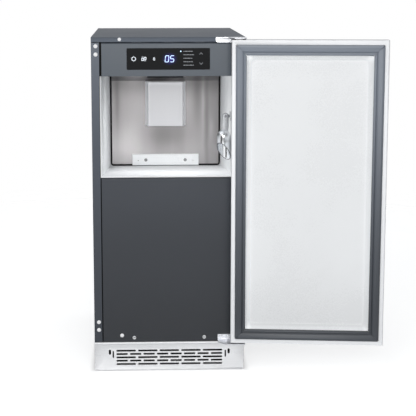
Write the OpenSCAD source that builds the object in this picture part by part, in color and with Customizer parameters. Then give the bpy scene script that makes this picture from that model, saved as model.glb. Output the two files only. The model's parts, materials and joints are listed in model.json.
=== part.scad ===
// Undercounter nugget ice maker, fifteen inches wide, with its door swung open to the right.
// Millimetres. +Z is up and the front faces -Y. The origin lies on the floor, at the centre
// of the cabinet's footprint. Depths are counted back from the plane of the cabinet's front.

/* [Cabinet] */
// Width of the cabinet
body_w = 380; // [370:5:400]
// Depth of the cabinet without its door
body_d = 560; // [545:5:600]
// Height from the floor to the top panel
body_h = 846; // [836:1:866]
// Thickness of the folded sheet metal
sheet_t = 1.5; // [1.2:0.1:1.8]
// Width of the side panels' front flanges
flange_w = 20; // [18:1:22]
// Height of the top panel's front skirt
skirt_h = 11.5; // [9:0.5:14]
// Open joint between the front panels
seam = 1.6; // [1:0.1:2.2]

/* [Front panels] */
// Height of the control fascia
fascia_h = 82.5; // [78:0.5:88]
// Dark gap at each side of the fascia
fascia_gap = 5.5; // [4:0.5:7]
// Width of the display window
window_w = 205; // [180:5:230]
// Height of the display window
window_h = 53; // [44:1:60]
// Gap at each side of the lower panel
panel_gap = 2.7; // [2:0.1:4]
// Depth of the folded edges behind the front panels
return_d = 14; // [10:1:15]

/* [Kick plate and feet] */
// Height of the kick plate's top edge above the floor
kick_h = 74.4; // [70:0.2:80]
// Thickness of the kick plate
kick_t = 1.5; // [1.2:0.1:2]
// Clearance between the kick plate and the floor
kick_gap = 1.2; // [1:0.1:3]
// Height of a grille slot
slot_h = 4.8; // [4:0.1:6]
// Distance between two rows of slots
slot_row = 8.8; // [8:0.1:9.4]
// Height of the lowest row of slots
slot_low = 16.7; // [12:0.1:18]
// Width of the slotted field
grille_w = 270; // [240:5:290]
// Web between two slots of a row
slot_web = 5.4; // [4:0.1:8]
// Height of the base pan's underside above the floor
pan_z = 18; // [16:1:20]
// Diameter of a levelling foot's pad
foot_d = 36; // [30:1:40]
// Diameter of a levelling foot's threaded stem
stem_d = 10; // [8:0.5:12]
// Distance of the feet from the cabinet's sides
foot_in = 30; // [26:1:34]

/* [Ice bin] */
// Height of the bin's front sill
sill_z = 501.3; // [496:0.1:506]
// Depth kept free behind the bin for the ice head
service_depth = 126; // [118:1:140]
// Drop of the bin's floor from the sill to the back
floor_drop = 38; // [30:1:44]
// Narrowing of each side wall from front to back
bin_taper = 10.7; // [6:0.1:14]
// Wall of the bin liner
bin_wall = 3; // [2.5:0.1:3.5]
// Foam above and below the bin
foam_t = 22; // [18:1:26]
// Height of the crease in the steel back sheet, below the bin's ceiling
crease_drop = 47; // [42:0.5:52]
// Width of the ice chute cover at the back wall
cover_w = 114; // [104:1:124]
// Height of the ice chute cover
cover_h = 124; // [110:1:134]
// How far the ice chute cover stands out
cover_out = 25; // [20:1:32]
// Width of the drain cover
drain_w = 187; // [170:1:200]
// Height of the drain cover
drain_h = 31; // [26:1:36]

/* [Door] */
// Thickness of the door
door_t = 45; // [43:1:50]
// Gap between the closed door and the cabinet
door_gap = 9; // [8.8:0.1:10]
// Distance of the hinge axis from the door's edge
hinge_in = 18; // [16:0.5:18]
// Opening angle at which the door stands
door_angle = 174; // [90:1:174]
// Width of the door gasket
gasket_w = 26; // [24:0.5:28]
// Distance of the gasket from the door's edges
gasket_in = 11; // [11:0.5:14]
// Depth of the recess in the door's inner panel
liner_recess = 15; // [12:1:20]
// Length of the bar handle
handle_l = 460; // [360:10:560]
// Diameter of the bar handle
handle_d = 16; // [14:1:20]

/* [Ice making] */
// Bore of the freezing barrel
barrel_bore = 50; // [48:1:52]
// Wall of the freezing barrel
barrel_wall = 5; // [4:0.5:6]
// Turns of the auger's flight
auger_turns = 3.5; // [2.5:0.5:4.5]
// Diameter of the condenser fan
fan_d = 172; // [150:2:174]
// Diameter of the compressor's shell
comp_d = 144; // [130:2:150]

/* [Scoop] */
// Diameter of the scoop's bowl
scoop_d = 36; // [32:1:38]
// Length of the scoop's bowl
scoop_l = 80; // [70:1:90]
// Length of the scoop's handle above the bowl
scoop_grip = 42; // [34:1:50]

/* [Hidden] */

$fn = 48;

// Colours
panel_grey = [0.30, 0.32, 0.34];
fascia_grey = [0.40, 0.42, 0.45];
steel = [0.80, 0.81, 0.82];
white = [0.93, 0.94, 0.95];
black = [0.04, 0.04, 0.05];
rubber_grey = [0.40, 0.42, 0.46];
foam_cream = [0.93, 0.88, 0.70];
copper = [0.80, 0.48, 0.32];

// Clearances
run_gap = 0.05;   // running fit, on the radius
fit_gap = 0.2;    // a part dropped into its cut-out
seat_gap = 0.3;   // folded sheets lying against the bin
cut = 1;          // how far a cutting shape runs past a face

// Cabinet
half_w = body_w / 2;
front_y = -body_d / 2;
back_y = body_d / 2;
inner_w = half_w - sheet_t;
roof_z = body_h - sheet_t;
panel_low = kick_h + 1.3;
skirt_z = body_h - skirt_h;
flange_high = skirt_z - seam;
back_return = 15;
fold_d = 10;
edge_r = 3;
pan_top = pan_z + sheet_t;

// Front panels
fascia_high = flange_high;
fascia_low = fascia_high - fascia_h;
fascia_hw = half_w - flange_w - fascia_gap;
lower_hw = half_w - flange_w - panel_gap;
window_z = fascia_low + fascia_h / 2 + 1;
window_lip = 4;
bevel = 3;

// Bin. The side walls close in and the floor falls towards the back.
bin_depth = body_d - service_depth;
lower_high = sill_z - bin_wall - seat_gap - floor_drop * return_d / bin_depth;
bin_hw = half_w - flange_w - bin_wall - 0.8;
bin_back_hw = bin_hw - bin_taper;
bin_y = front_y + bin_depth;
floor_z = sill_z - floor_drop;
ceiling_z = fascia_low + 1;
crease_z = ceiling_z - crease_drop;
chamfer_run = 10;
chamfer_rise = 17;
chamfer_angle = atan2(chamfer_run, chamfer_rise);
ceiling_flat = 110;
back_sheet_t = 1;
sheet_y = bin_y - back_sheet_t;
seal_in = 0.7;
seal_w = 2.3;
seal_t = 2;
liner_back = bin_y + bin_wall;
foam_behind = 25;
foam_back = liner_back + foam_behind;
foam_low = floor_z - bin_wall - foam_t;
foam_high = ceiling_z + bin_wall + foam_t;
foam_front = front_y + return_d + 6;

// Ice chute
cover_high = crease_z - 1.5;
cover_low = cover_high - cover_h;
cover_draft = 9;
cover_t = 2.5;
duct_w = 84;
duct_h = 60;
duct_high = cover_high - 12;
duct_low = duct_high - duct_h;
duct_t = 2.5;

// Freezing barrel, behind the bin
barrel_y = (foam_back + back_y) / 2;
barrel_r = barrel_bore / 2 + barrel_wall;
head_r = barrel_r + 4;
head_low = duct_low - 4;
head_high = duct_high + 4;
die_h = 14;
barrel_top = head_low - die_h;
barrel_h = 150;
barrel_low = barrel_top - barrel_h;
bracket_z = barrel_low - 6;
gearbox_h = 78;
gearbox_w = 120;
gearbox_d = 70;
gearbox_low = bracket_z - gearbox_h;
shaft_r = 8;
drive_motor_r = 33;
drive_motor_l = 100;
bracket_t = 3;
auger_core_r = 14;
auger_gap = 0.5;

// Drain
drain_plate_hw = drain_w / 2 - 16.5;
drain_pipe_x = drain_plate_hw - 2;
drain_pipe_z = floor_z + 12;
drain_pipe_r = 8;
drain_pipe_bore = 6;
drain_pipe_y = foam_back + drain_pipe_r + 12;
spigot_z = 60;
spigot_r = 8;
spigot_l = 25;
drain_t = 8;

// Water
reservoir_x = gearbox_w / 2 + 35;
reservoir_w = inner_w - 10 - reservoir_x;
reservoir_y = foam_back + 5;
reservoir_d = back_y - 8 - reservoir_y;
reservoir_z = barrel_low + 6;
reservoir_h = 110;
reservoir_t = 2.5;
feed_z = reservoir_z + 10;
inlet_x = half_w - 60;
inlet_z = 110;
inlet_r = 13.2;
inlet_l = 14;
valve_y = back_y - 45;
valve_hw = 18;
gland_x = -half_w + 60;
gland_z = 80;
gland_r = 4.5;

// Refrigeration
comp_x = -half_w + comp_d / 2 + 33;
comp_y = back_y - comp_d / 2 - 58;
comp_h = 164;
comp_base = pan_top + 16;
cond_w = fan_d + 38;
cond_h = fan_d + 43;
fan_x = -half_w + cond_w / 2 + 50;
fan_z = pan_top + cond_h / 2 + 15;
cond_t = 38;
cond_y = front_y + 25;
shroud_y = cond_y + cond_t;
shroud_ring = 20;
fan_y = shroud_y + shroud_ring + 3;
fan_blade_d = 20;
fan_gap = 4;
motor_y = fan_y + fan_blade_d + 12;
motor_l = 45;
motor_r = 30;
line_r = 3;
drier_x = half_w - 78;
drier_y = comp_y - 90;
drier_z = pan_top + 80.5;
drier_l = 110;

// Door, described closed and then swung open about its hinge
door_in = front_y - door_gap;
door_out = door_in - door_t;
door_low = kick_h + 10.1;
door_high = body_h - 5;
door_mid = (door_low + door_high) / 2;
pivot_x = half_w - hinge_in;
pivot_y = front_y - 31;
skin_t = 1.2;
skin_lip = gasket_in + 1;
liner_t = 2;
pocket_in = gasket_in + gasket_w + 1;
pocket_draft = 10;
gasket_h = door_gap - 0.5;
pin_r = 4;
bush_r = 7;
bush_l = 22;
bush_flange = 2;
handle_in = 40;
handle_out = 40;

// Hinge brackets
leaf_t = 2;
plate_t = 2.6;
top_plate_x = half_w - 74;
low_plate_x = half_w - 67;
low_plate_z = kick_h + 2.6;
leaf_end = pivot_x - 12;
plate_front = pivot_y - 17;

// Scoop, hung on a peg at the bin's right wall
scoop_depth = 100;
scoop_x = bin_hw - bin_taper * scoop_depth / bin_depth - 15.5;
scoop_y = front_y + scoop_depth;
scoop_top = sill_z + 147;
scoop_t = 1.2;
grip_w = 15;
grip_t = 4;
peg_r = 2.2;
peg_gap = 0.4;
peg_l = 16;
scoop_turn = 50;
mouth_rise = 46;

// Basic shapes

module box(low, high) {
    translate(low) cube(high - low);
}

// Extrudes a profile of [y, z] points along X
module along_x(x0, x1) {
    translate([x0, 0, 0]) rotate([90, 0, 90]) linear_extrude(x1 - x0) children();
}

// Extrudes an outline of [x, z] points along Y
module along_y(y0, y1) {
    translate([0, y1, 0]) rotate([90, 0, 0]) linear_extrude(y1 - y0) children();
}

module rod_y(x, z, r, y0, y1) {
    translate([x, y0, z]) rotate([-90, 0, 0]) cylinder(r = r, h = y1 - y0);
}

module rod_z(x, y, r, z0, z1) {
    translate([x, y, z0]) cylinder(r = r, h = z1 - z0);
}

module rounded_rect(w, h, r) {
    square([w - 2 * r, h], center = true);
    square([w, h - 2 * r], center = true);
    for (x = [-1, 1], z = [-1, 1])
        translate([x * (w / 2 - r), z * (h / 2 - r)]) circle(r = r);
}

module slot(w, h) {
    square([w - h, h], center = true);
    for (x = [-1, 1]) translate([x * (w - h) / 2, 0]) circle(d = h);
}

function arc(c, r, a0, a1, n) =
    [for (i = [0:n]) c + r * [cos(a0 + (a1 - a0) * i / n), sin(a0 + (a1 - a0) * i / n)]];

// A pipe through points joined by straight runs along the axes, with quarter bends of radius bend
module straight(a, b, r) {
    v = b - a;
    l = norm(v);
    translate(a) rotate([0, acos(v[2] / l), atan2(v[1], v[0])]) cylinder(r = r, h = l);
}

module quarter_bend(p, into, out, bend, r) {
    c = p - bend * into + bend * out;
    n = cross(-out, into);
    multmatrix([[-out[0], into[0], n[0], c[0]],
                [-out[1], into[1], n[1], c[1]],
                [-out[2], into[2], n[2], c[2]]])
        rotate_extrude(angle = 90) translate([bend, 0]) circle(r = r);
}

function unit(v) = v / norm(v);

module pipe(points, r, bend) {
    last = len(points) - 1;
    for (i = [0:last - 1]) {
        v = unit(points[i + 1] - points[i]);
        a = points[i] + (i > 0 ? bend * v : [0, 0, 0]);
        b = points[i + 1] - (i < last - 1 ? bend * v : [0, 0, 0]);
        straight(a, b, r);
    }
    for (i = [1:last - 1])
        quarter_bend(points[i], unit(points[i] - points[i - 1]),
                     unit(points[i + 1] - points[i]), bend, r);
}

// A closed skin over rings of points that all have the same number of sides
module skin(rings) {
    n = len(rings[0]);
    m = len(rings);
    points = [for (ring = rings) each ring];
    sides = [for (i = [0:m - 2], j = [0:n - 1])
        let (a = i * n + j, b = i * n + (j + 1) % n) each [[a, b, b + n], [a, b + n, a + n]]];
    ends = [[for (j = [n - 1:-1:0]) j], [for (j = [0:n - 1]) (m - 1) * n + j]];
    polyhedron(points, concat(sides, ends));
}

// Cabinet

plug_x = -half_w + flange_w / 2 + 1.5;
plug_r = 4;
plug_head = 5;
plug_pitch = 20.2;
plug_high = flange_high - 8.7;
plug_low = panel_low + 31.2;
plug_off = -half_w + 70;
skirt_plug_z = body_h - 5.2;
panel_plug_z = panel_low + 16;

function flange_plugs() =
    [for (z = [plug_high, plug_high - plug_pitch, plug_low + plug_pitch, plug_low]) [plug_x, z]];

module side_panel() {
    color(panel_grey) difference() {
        union() {
            box([-half_w, front_y, pan_z], [-inner_w, back_y - sheet_t, roof_z]);
            box([-half_w, front_y, panel_low], [-half_w + flange_w, front_y + sheet_t, flange_high]);
            box([-half_w + flange_w - sheet_t, front_y, panel_low],
                [-half_w + flange_w, front_y + fold_d, flange_high]);
            // turned in behind the gaps beside the fascia and the lower panel
            box([-half_w + flange_w - sheet_t, front_y + fold_d - sheet_t, fascia_low],
                [-fascia_hw - fit_gap, front_y + fold_d, flange_high]);
            box([-half_w + flange_w - sheet_t, front_y + fold_d - sheet_t, panel_low],
                [-lower_hw - fit_gap, front_y + fold_d, lower_high]);
            box([-half_w, back_y - 2 * sheet_t, pan_z],
                [-half_w + back_return, back_y - sheet_t, roof_z]);
        }
        box([-half_w - cut, front_y - cut, flange_high],
            [-inner_w + cut, front_y + sheet_t, roof_z + cut]);
        box([-half_w - cut, front_y - cut, body_h - edge_r],
            [-inner_w + cut, front_y + edge_r, roof_z + cut]);
        for (p = flange_plugs()) rod_y(p[0], p[1], plug_r, front_y - cut, front_y + sheet_t + cut);
    }
}

module left_side_panel() {
    side_panel();
}

module right_side_panel() {
    mirror([1, 0, 0]) side_panel();
}

module top_panel() {
    fold = concat(
        [[front_y, skirt_z]],
        arc([front_y + edge_r, body_h - edge_r], edge_r, 180, 90, 4),
        [[back_y, body_h], [back_y, roof_z]],
        arc([front_y + edge_r, body_h - edge_r], edge_r - sheet_t, 90, 180, 4),
        [[front_y + sheet_t, skirt_z]]);
    color(panel_grey) {
        difference() {
            union() {
                along_x(-half_w, half_w) polygon(fold);
                for (s = [-1, 1])
                    box([min(s * inner_w, s * (inner_w - sheet_t)), front_y + 20, roof_z - 12],
                        [max(s * inner_w, s * (inner_w - sheet_t)), back_y - 20, roof_z + 0.5]);
            }
            rod_y(plug_off, skirt_plug_z, plug_r - 0.8, front_y - cut, front_y + sheet_t + cut);
        }
    }
}

vent_rows = 9;
vent_l = 90;
vent_h = 5;
vent_row = 14;
back_screw_in = 9;

function back_screws() =
    [for (x = [-1, 1], z = [pan_z + 30, body_h * 0.35, body_h * 0.65, roof_z - 30])
        [x * (half_w - back_screw_in), z]];

module back_panel() {
    color(panel_grey) along_y(back_y - sheet_t, back_y) difference() {
        translate([-half_w, pan_z]) square([body_w, roof_z - pan_z]);
        for (i = [0:vent_rows - 1], x = [-1, 1])
            translate([x * 55 - 30, 190 + i * vent_row]) slot(vent_l, vent_h);
        translate([inlet_x, inlet_z]) circle(r = inlet_r + 1);
        translate([drain_pipe_x, spigot_z]) circle(r = drain_pipe_r + fit_gap);
        translate([gland_x, gland_z]) circle(r = gland_r + 3.5 + fit_gap);
    }
}

nut_r = stem_d / 2 + 4;
nut_h = 10;
stem_x = half_w - foot_in;
stem_y = body_d / 2 - 40;
upstand = 36;

module base_pan() {
    color("silver") difference() {
        union() {
            box([-inner_w, front_y, pan_z], [inner_w, back_y - 2 * sheet_t, pan_top]);
            for (s = [-1, 1])
                box([min(s * inner_w, s * (inner_w - sheet_t)), front_y, pan_z],
                    [max(s * inner_w, s * (inner_w - sheet_t)), back_y - 2 * sheet_t,
                     pan_z + upstand]);
            box([-inner_w, back_y - 3 * sheet_t, pan_z],
                [inner_w, back_y - 2 * sheet_t, pan_z + upstand]);
            box([-inner_w, front_y, pan_z], [inner_w, front_y + sheet_t, kick_h + 0.6]);
            box([-inner_w, front_y, kick_h - 0.9], [inner_w, front_y + 16, kick_h + 0.6]);
            for (x = [-1, 1], y = [-1, 1])
                rod_z(x * stem_x, y * stem_y, nut_r, pan_z, pan_top + nut_h);
        }
        box([-grille_w / 2 - 20, front_y - cut, pan_top + 3],
            [grille_w / 2 + 20, front_y + sheet_t + cut, kick_h - 16]);
        for (x = [-1, 1], y = [-1, 1])
            rod_z(x * stem_x, y * stem_y, stem_d / 2 + run_gap, pan_z - cut, pan_top + nut_h + cut);
        translate([drain_pipe_x, back_y, spigot_z]) rotate([90, 0, 0])
            cylinder(r = drain_pipe_r + fit_gap, h = 20);
    }
}

// A sheet tray whose folded edges point back; the top edge carries a small bevel
module front_tray(hw, low, high) {
    difference() {
        along_x(-hw, hw) polygon([
            [front_y, low], [front_y, high - bevel], [front_y + bevel, high],
            [front_y + return_d, high], [front_y + return_d, low]]);
        along_x(-hw + sheet_t, hw - sheet_t) polygon([
            [front_y + sheet_t, low + sheet_t],
            [front_y + sheet_t, high - bevel - sheet_t * 0.41],
            [front_y + bevel + sheet_t * 0.41, high - sheet_t],
            [front_y + return_d + cut, high - sheet_t],
            [front_y + return_d + cut, low + sheet_t]]);
    }
}

panel_screw_x = half_w - 101;
panel_screw_z = panel_low + 10;
screw_r = 2.4;

module lower_front_panel() {
    color(panel_grey) difference() {
        front_tray(lower_hw, panel_low, lower_high);
        for (s = [-1, 1])
            rod_y(s * panel_screw_x, panel_screw_z, screw_r, front_y - cut, front_y + 5);
        rod_y(plug_off, panel_plug_z, plug_r, front_y - cut, front_y + 5);
    }
}

long_slots = 5;
short_slots = 8;

module slot_row_2d(count, z) {
    pitch = (grille_w + slot_web) / count;
    for (i = [0:count - 1])
        translate([-grille_w / 2 + pitch * i + (pitch - slot_web) / 2, z])
            slot(pitch - slot_web, slot_h);
}

module kick_plate() {
    plate_hw = half_w - 0.5;
    corner = 4;
    face = front_y - kick_t;
    lip_out = 3;
    color(steel) {
        difference() {
            union() {
                along_y(face, front_y) {
                    translate([-plate_hw, kick_gap + corner])
                        square([2 * plate_hw, kick_h - kick_gap - corner]);
                    translate([-plate_hw + corner, kick_gap])
                        square([2 * (plate_hw - corner), corner + 1]);
                    for (s = [-1, 1])
                        translate([s * (plate_hw - corner), kick_gap + corner]) circle(r = corner);
                }
                along_x(-plate_hw, plate_hw) polygon([
                    [front_y, kick_h], [face - lip_out + 1, kick_h],
                    [face - lip_out, kick_h - 1], [face - lip_out, kick_h - 3.5],
                    [face, kick_h - 6.5], [front_y, kick_h - 6.5]]);
                along_x(-plate_hw + corner, plate_hw - corner) polygon([
                    [front_y, kick_gap], [face - 1, kick_gap],
                    [face - 1, kick_gap + 2], [face, kick_gap + 3], [front_y, kick_gap + 3]]);
            }
            along_y(face - cut, front_y + cut) {
                for (row = [0:4])
                    slot_row_2d(row % 2 == 0 ? long_slots : short_slots,
                                slot_low + row * slot_row);
                for (s = [-1, 1]) {
                    translate([s * (grille_w / 2 + 8), slot_low + 2.9 * slot_row])
                        rotate(90) slot(18, 3.6);
                    translate([s * (grille_w / 2 + 16.5), slot_low + 3.6 * slot_row])
                        rotate(90) slot(13, 5.8);
                }
            }
        }
    }
}

tab_pitch = 75;
tab_w = 24;

// Three tabs stand up from the tray and lie against the back of the top panel's skirt
module control_fascia() {
    color(fascia_grey) {
        difference() {
            front_tray(fascia_hw, fascia_low, fascia_high);
            along_y(front_y - cut, front_y + 5)
                translate([0, window_z]) rounded_rect(window_w, window_h, 2);
        }
        for (i = [-1:1]) {
            x0 = i * tab_pitch - tab_w / 2;
            box([x0, front_y + 8, fascia_high - sheet_t],
                [x0 + tab_w, front_y + 8 + sheet_t, skirt_z + 6]);
            box([x0, front_y + sheet_t, skirt_z + 6 - sheet_t],
                [x0 + tab_w, front_y + 8 + sheet_t, skirt_z + 6]);
        }
    }
}

module display_window() {
    color(black) {
        along_y(front_y + 0.8, front_y + sheet_t) translate([0, window_z])
            rounded_rect(window_w - 2 * fit_gap, window_h - 2 * fit_gap, 2 - fit_gap);
        along_y(front_y + sheet_t, front_y + sheet_t + 2) translate([0, window_z])
            rounded_rect(window_w + 2 * window_lip, window_h + 2 * window_lip, 2);
    }
}

board_y = front_y + sheet_t + 2 + 6;

module control_board() {
    color("darkgreen") {
        box([-window_w / 2, board_y, window_z - 20], [window_w / 2, board_y + 1.6, window_z + 20]);
        for (x = [-1, 1], z = [-1, 1])
            rod_y(x * (window_w / 2 - 6), window_z + z * 14, 3, board_y - 6, board_y);
    }
    color("dimgrey") {
        box([-30, board_y + 1.6, window_z - 8], [-6, board_y + 4, window_z + 8]);
        box([40, board_y + 1.6, window_z - 12], [62, board_y + 9, window_z + 2]);
    }
}

box_w = 130;
box_d = 190;
box_h = 42;
box_wall = 2;

module electronics_box() {
    low = [-half_w + 40, front_y + 180, foam_high];
    wall = [box_wall, box_wall, box_wall];
    inside = low + wall;
    color("lightgrey") difference() {
        box(low, low + [box_w, box_d, box_h]);
        box(inside, low + [box_w, box_d, box_h] - wall);
    }
    color("dimgrey")
        translate(inside) cube([box_w * 0.45, box_d * 0.42, box_h * 0.67]);
}

// Ice bin

// Side profile of the bin's inside, grown by g, from the depth d0
function bin_profile(g, d0) = [
    [front_y + d0, sill_z - floor_drop * d0 / bin_depth - g],
    [bin_y + g, floor_z - g],
    [bin_y + g, crease_z + g / 2],
    [bin_y - chamfer_run + g / 2, crease_z + chamfer_rise + g],
    [front_y + ceiling_flat, ceiling_z + g],
    [front_y + d0, ceiling_z + g]];

// Plan of the bin's inside, grown by g, from the depth d0
function bin_plan(g, d0) = [
    [-bin_hw + bin_taper * d0 / bin_depth - g, front_y + d0],
    [bin_hw - bin_taper * d0 / bin_depth + g, front_y + d0],
    [bin_back_hw + g, bin_y + g],
    [-bin_back_hw - g, bin_y + g]];

module bin_space(g, d0) {
    intersection() {
        along_x(-half_w, half_w) polygon(bin_profile(g, d0));
        translate([0, 0, floor_z - 50]) linear_extrude(ceiling_z - floor_z + 100)
            polygon(bin_plan(g, d0));
    }
}

module duct_space(g, y0, y1) {
    box([-duct_w / 2 - g, y0, duct_low - g], [duct_w / 2 + g, y1, duct_high + g]);
}

module bin_liner() {
    color(white) difference() {
        bin_space(bin_wall, 1.2);
        bin_space(0, -2);
        box([-half_w, front_y - cut, fascia_low - seat_gap],
            [half_w, front_y + return_d + seat_gap, fascia_high]);
        duct_space(0, bin_y - cut, liner_back + cut);
        rod_y(drain_pipe_x, drain_pipe_z, drain_pipe_r, bin_y - cut, liner_back + cut);
    }
}

// A strip against the bin's back wall and its slanted top, t thick
module back_strip(x0, x1, t) {
    shift = t * tan(chamfer_angle / 2);
    along_x(x0, x1) polygon([
        [bin_y, floor_z], [bin_y, crease_z],
        [bin_y - chamfer_run, crease_z + chamfer_rise],
        [bin_y - chamfer_run - t * cos(chamfer_angle),
         crease_z + chamfer_rise - t * sin(chamfer_angle)],
        [bin_y - t, crease_z - shift], [bin_y - t, floor_z]]);
}

// The back wall seen from the front, with rounded lower corners
module back_outline(in) {
    hw = bin_back_hw - in;
    r = 9 - in;
    low = floor_z + in;
    translate([-hw, low + r]) square([2 * hw, crease_z + chamfer_rise + 10 - low - r]);
    translate([-hw + r, low]) square([2 * (hw - r), r + 1]);
    for (s = [-1, 1]) translate([s * (hw - r), low + r]) circle(r = r);
}

sensor_w = 101;
sensor_low = 10.5;
sensor_high = 15.5;

// A patch on the slanted strip, between two distances from the crease
module slanted_patch(w, s0, s1, t) {
    along = [-sin(chamfer_angle), cos(chamfer_angle)];
    inward = [-cos(chamfer_angle), -sin(chamfer_angle)];
    foot = [bin_y, crease_z];
    along_x(-w / 2, w / 2) polygon([
        foot + s0 * along, foot + s1 * along,
        foot + s1 * along + t * inward, foot + s0 * along + t * inward]);
}

module bin_back_sheet() {
    color(steel) difference() {
        intersection() {
            back_strip(-bin_back_hw, bin_back_hw, back_sheet_t);
            along_y(bin_y - 60, bin_y + cut) back_outline(seal_in + seal_w);
        }
        slanted_patch(sensor_w, sensor_low, sensor_high, 5);
        duct_space(0, bin_y - 5, bin_y + cut);
        rod_y(drain_pipe_x, drain_pipe_z, drain_pipe_r, bin_y - 5, bin_y + cut);
    }
}

module bin_seal_trim() {
    color(black) intersection() {
        back_strip(-bin_back_hw, bin_back_hw, seal_t);
        along_y(bin_y - 60, bin_y + cut) difference() {
            back_outline(seal_in);
            back_outline(seal_in + seal_w);
        }
    }
}

module ice_level_sensor() {
    color(black) slanted_patch(sensor_w, sensor_low, sensor_high, back_sheet_t);
}

module bin_insulation() {
    color(foam_cream) difference() {
        box([-inner_w, foam_front, foam_low], [inner_w, foam_back, foam_high]);
        bin_space(bin_wall, 1.2);
        duct_space(0, bin_y, foam_back + cut);
        rod_y(drain_pipe_x, drain_pipe_z, drain_pipe_r, bin_y, foam_back + cut);
    }
}

// Outline of the chute cover in plan, with its side walls closing in towards the front
function cover_plan(in) = [
    [-cover_w / 2 + in, sheet_y], [cover_w / 2 - in, sheet_y],
    [cover_w / 2 - cover_draft - in, sheet_y - cover_out + in],
    [-cover_w / 2 + cover_draft + in, sheet_y - cover_out + in]];

module ice_chute_cover() {
    nose = 2.5;
    color(white) difference() {
        intersection() {
            translate([0, 0, cover_low]) linear_extrude(cover_h) polygon(cover_plan(0));
            along_x(-cover_w, cover_w) polygon(concat(
                [[sheet_y, cover_low], [sheet_y, cover_high]],
                arc([sheet_y - cover_out + nose, cover_high - nose], nose, 90, 180, 4),
                [[sheet_y - cover_out, cover_low]]));
        }
        translate([0, 0, cover_low - cut]) linear_extrude(cover_h + cut - cover_t)
            polygon(concat([[-cover_w / 2 + cover_t, sheet_y + cut],
                            [cover_w / 2 - cover_t, sheet_y + cut]],
                           [for (i = [1:3]) cover_plan(cover_t)[i]],
                           [cover_plan(cover_t)[0]]));
    }
}

module ice_chute() {
    color(white) difference() {
        duct_space(0, sheet_y, barrel_y);
        box([-duct_w / 2 + duct_t, sheet_y - cut, duct_low + duct_t],
            [duct_w / 2 - duct_t, barrel_y + cut, duct_high - duct_t]);
        rod_z(0, barrel_y, head_r, duct_low - cut, duct_high + cut);
    }
}

drain_screw_x = drain_plate_hw - 21.5;
drain_screw_z = floor_z + 18;
plate_out = 2;

module drain_cover() {
    low = floor_z + seal_in + seal_w;
    face = sheet_y - drain_t;
    color(white) difference() {
        union() {
            box([-drain_w / 2, face, low], [drain_w / 2, sheet_y, low + drain_h]);
            along_y(face - plate_out, face) translate([0, low + drain_h / 2 + 1])
                rounded_rect(2 * drain_plate_hw, drain_h - 6, 5);
        }
        for (s = [0, 1]) mirror([s, 0, 0])
            box([drain_screw_x + 8, face + 2.5, low - cut],
                [drain_w / 2 - 2.5, sheet_y + cut, low + drain_h - 3]);
        for (s = [-1, 1]) {
            rod_y(s * drain_screw_x, drain_screw_z, screw_r, face - 5, sheet_y + cut);
            rod_y(s * drain_plate_hw, low + 13, 1.6, face - 5, sheet_y + cut);
        }
    }
}

drain_path = [
    [drain_pipe_x, sheet_y, drain_pipe_z], [drain_pipe_x, drain_pipe_y, drain_pipe_z],
    [drain_pipe_x, drain_pipe_y, spigot_z], [drain_pipe_x, back_y, spigot_z]];

module bin_drain_pipe() {
    color(white) difference() {
        pipe(drain_path, drain_pipe_r, 14);
        pipe(drain_path, drain_pipe_bore, 14);
    }
}

module drain_spigot() {
    color(white) difference() {
        union() {
            rod_y(drain_pipe_x, spigot_z, 15, back_y, back_y + 3);
            rod_y(drain_pipe_x, spigot_z, spigot_r, back_y + 3, back_y + 3 + spigot_l);
        }
        rod_y(drain_pipe_x, spigot_z, spigot_r - 2.5, back_y - cut, back_y + 4 + spigot_l);
    }
}

// Fasteners

// A pan head with a slot, its shank pointing back
module slotted_screw(x, y, z, turn) {
    translate([x, y, z]) rotate([-90, 0, 0]) {
        difference() {
            translate([0, 0, -1.8]) cylinder(r1 = 3.8, r2 = 4.6, h = 1.8);
            rotate(turn) translate([-5, -0.7, -2.8]) cube([10, 1.4, 2.1]);
        }
        cylinder(r = screw_r - 0.1, h = 6);
    }
}

module panel_screws() {
    color("silver") {
        for (s = [-1, 1]) slotted_screw(s * panel_screw_x, front_y, panel_screw_z, 20 * s);
        for (s = [-1, 1])
            slotted_screw(s * drain_screw_x, sheet_y - drain_t - plate_out, drain_screw_z, 35 * s);
        for (p = back_screws())
            translate([p[0], back_y, p[1]]) rotate([-90, 0, 0]) difference() {
                cylinder(r1 = 4.2, r2 = 3.4, h = 1.8);
                rotate(p[1]) translate([-5, -0.5, 0.9]) cube([10, 1, 2]);
            }
    }
}

module plug(x, y, z, r, head) {
    dome = 1.8;
    ball = (head * head + dome * dome) / (2 * dome);
    translate([x, y, z]) rotate([90, 0, 0]) {
        rotate_extrude() polygon(concat(
            [[0, 0], [head, 0]], arc([0, dome - ball], ball, asin((ball - dome) / ball), 90, 6)));
        translate([0, 0, -3]) cylinder(r = r - 0.1, h = 3);
    }
}

module hinge_hole_plugs() {
    color(white) {
        for (p = flange_plugs()) plug(p[0], front_y, p[1], plug_r, plug_head);
        plug(plug_off, front_y, skirt_plug_z, plug_r - 0.8, plug_head - 0.6);
        plug(plug_off, front_y, panel_plug_z, plug_r, plug_head);
    }
}

// Hinges

module top_hinge_bracket() {
    low = body_h - 13.5;
    corner = 7;
    color(steel) {
        translate([0, 0, body_h - plate_t]) linear_extrude(plate_t) polygon(concat(
            [[top_plate_x, front_y - leaf_t], [top_plate_x, front_y], [half_w, front_y]],
            arc([half_w - corner, plate_front + corner], corner, 0, -90, 4),
            [[leaf_end, plate_front], [leaf_end - 12, front_y - leaf_t]]));
        along_y(front_y - leaf_t, front_y) {
            translate([top_plate_x + 6, low]) square([leaf_end - top_plate_x - 6, body_h - low]);
            translate([top_plate_x, low + 6]) square([7, body_h - low - 6]);
            translate([top_plate_x + 6, low + 6]) circle(r = 6);
        }
        rod_z(pivot_x, pivot_y, pin_r, door_high - 18, body_h - plate_t + 1);
    }
}

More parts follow.
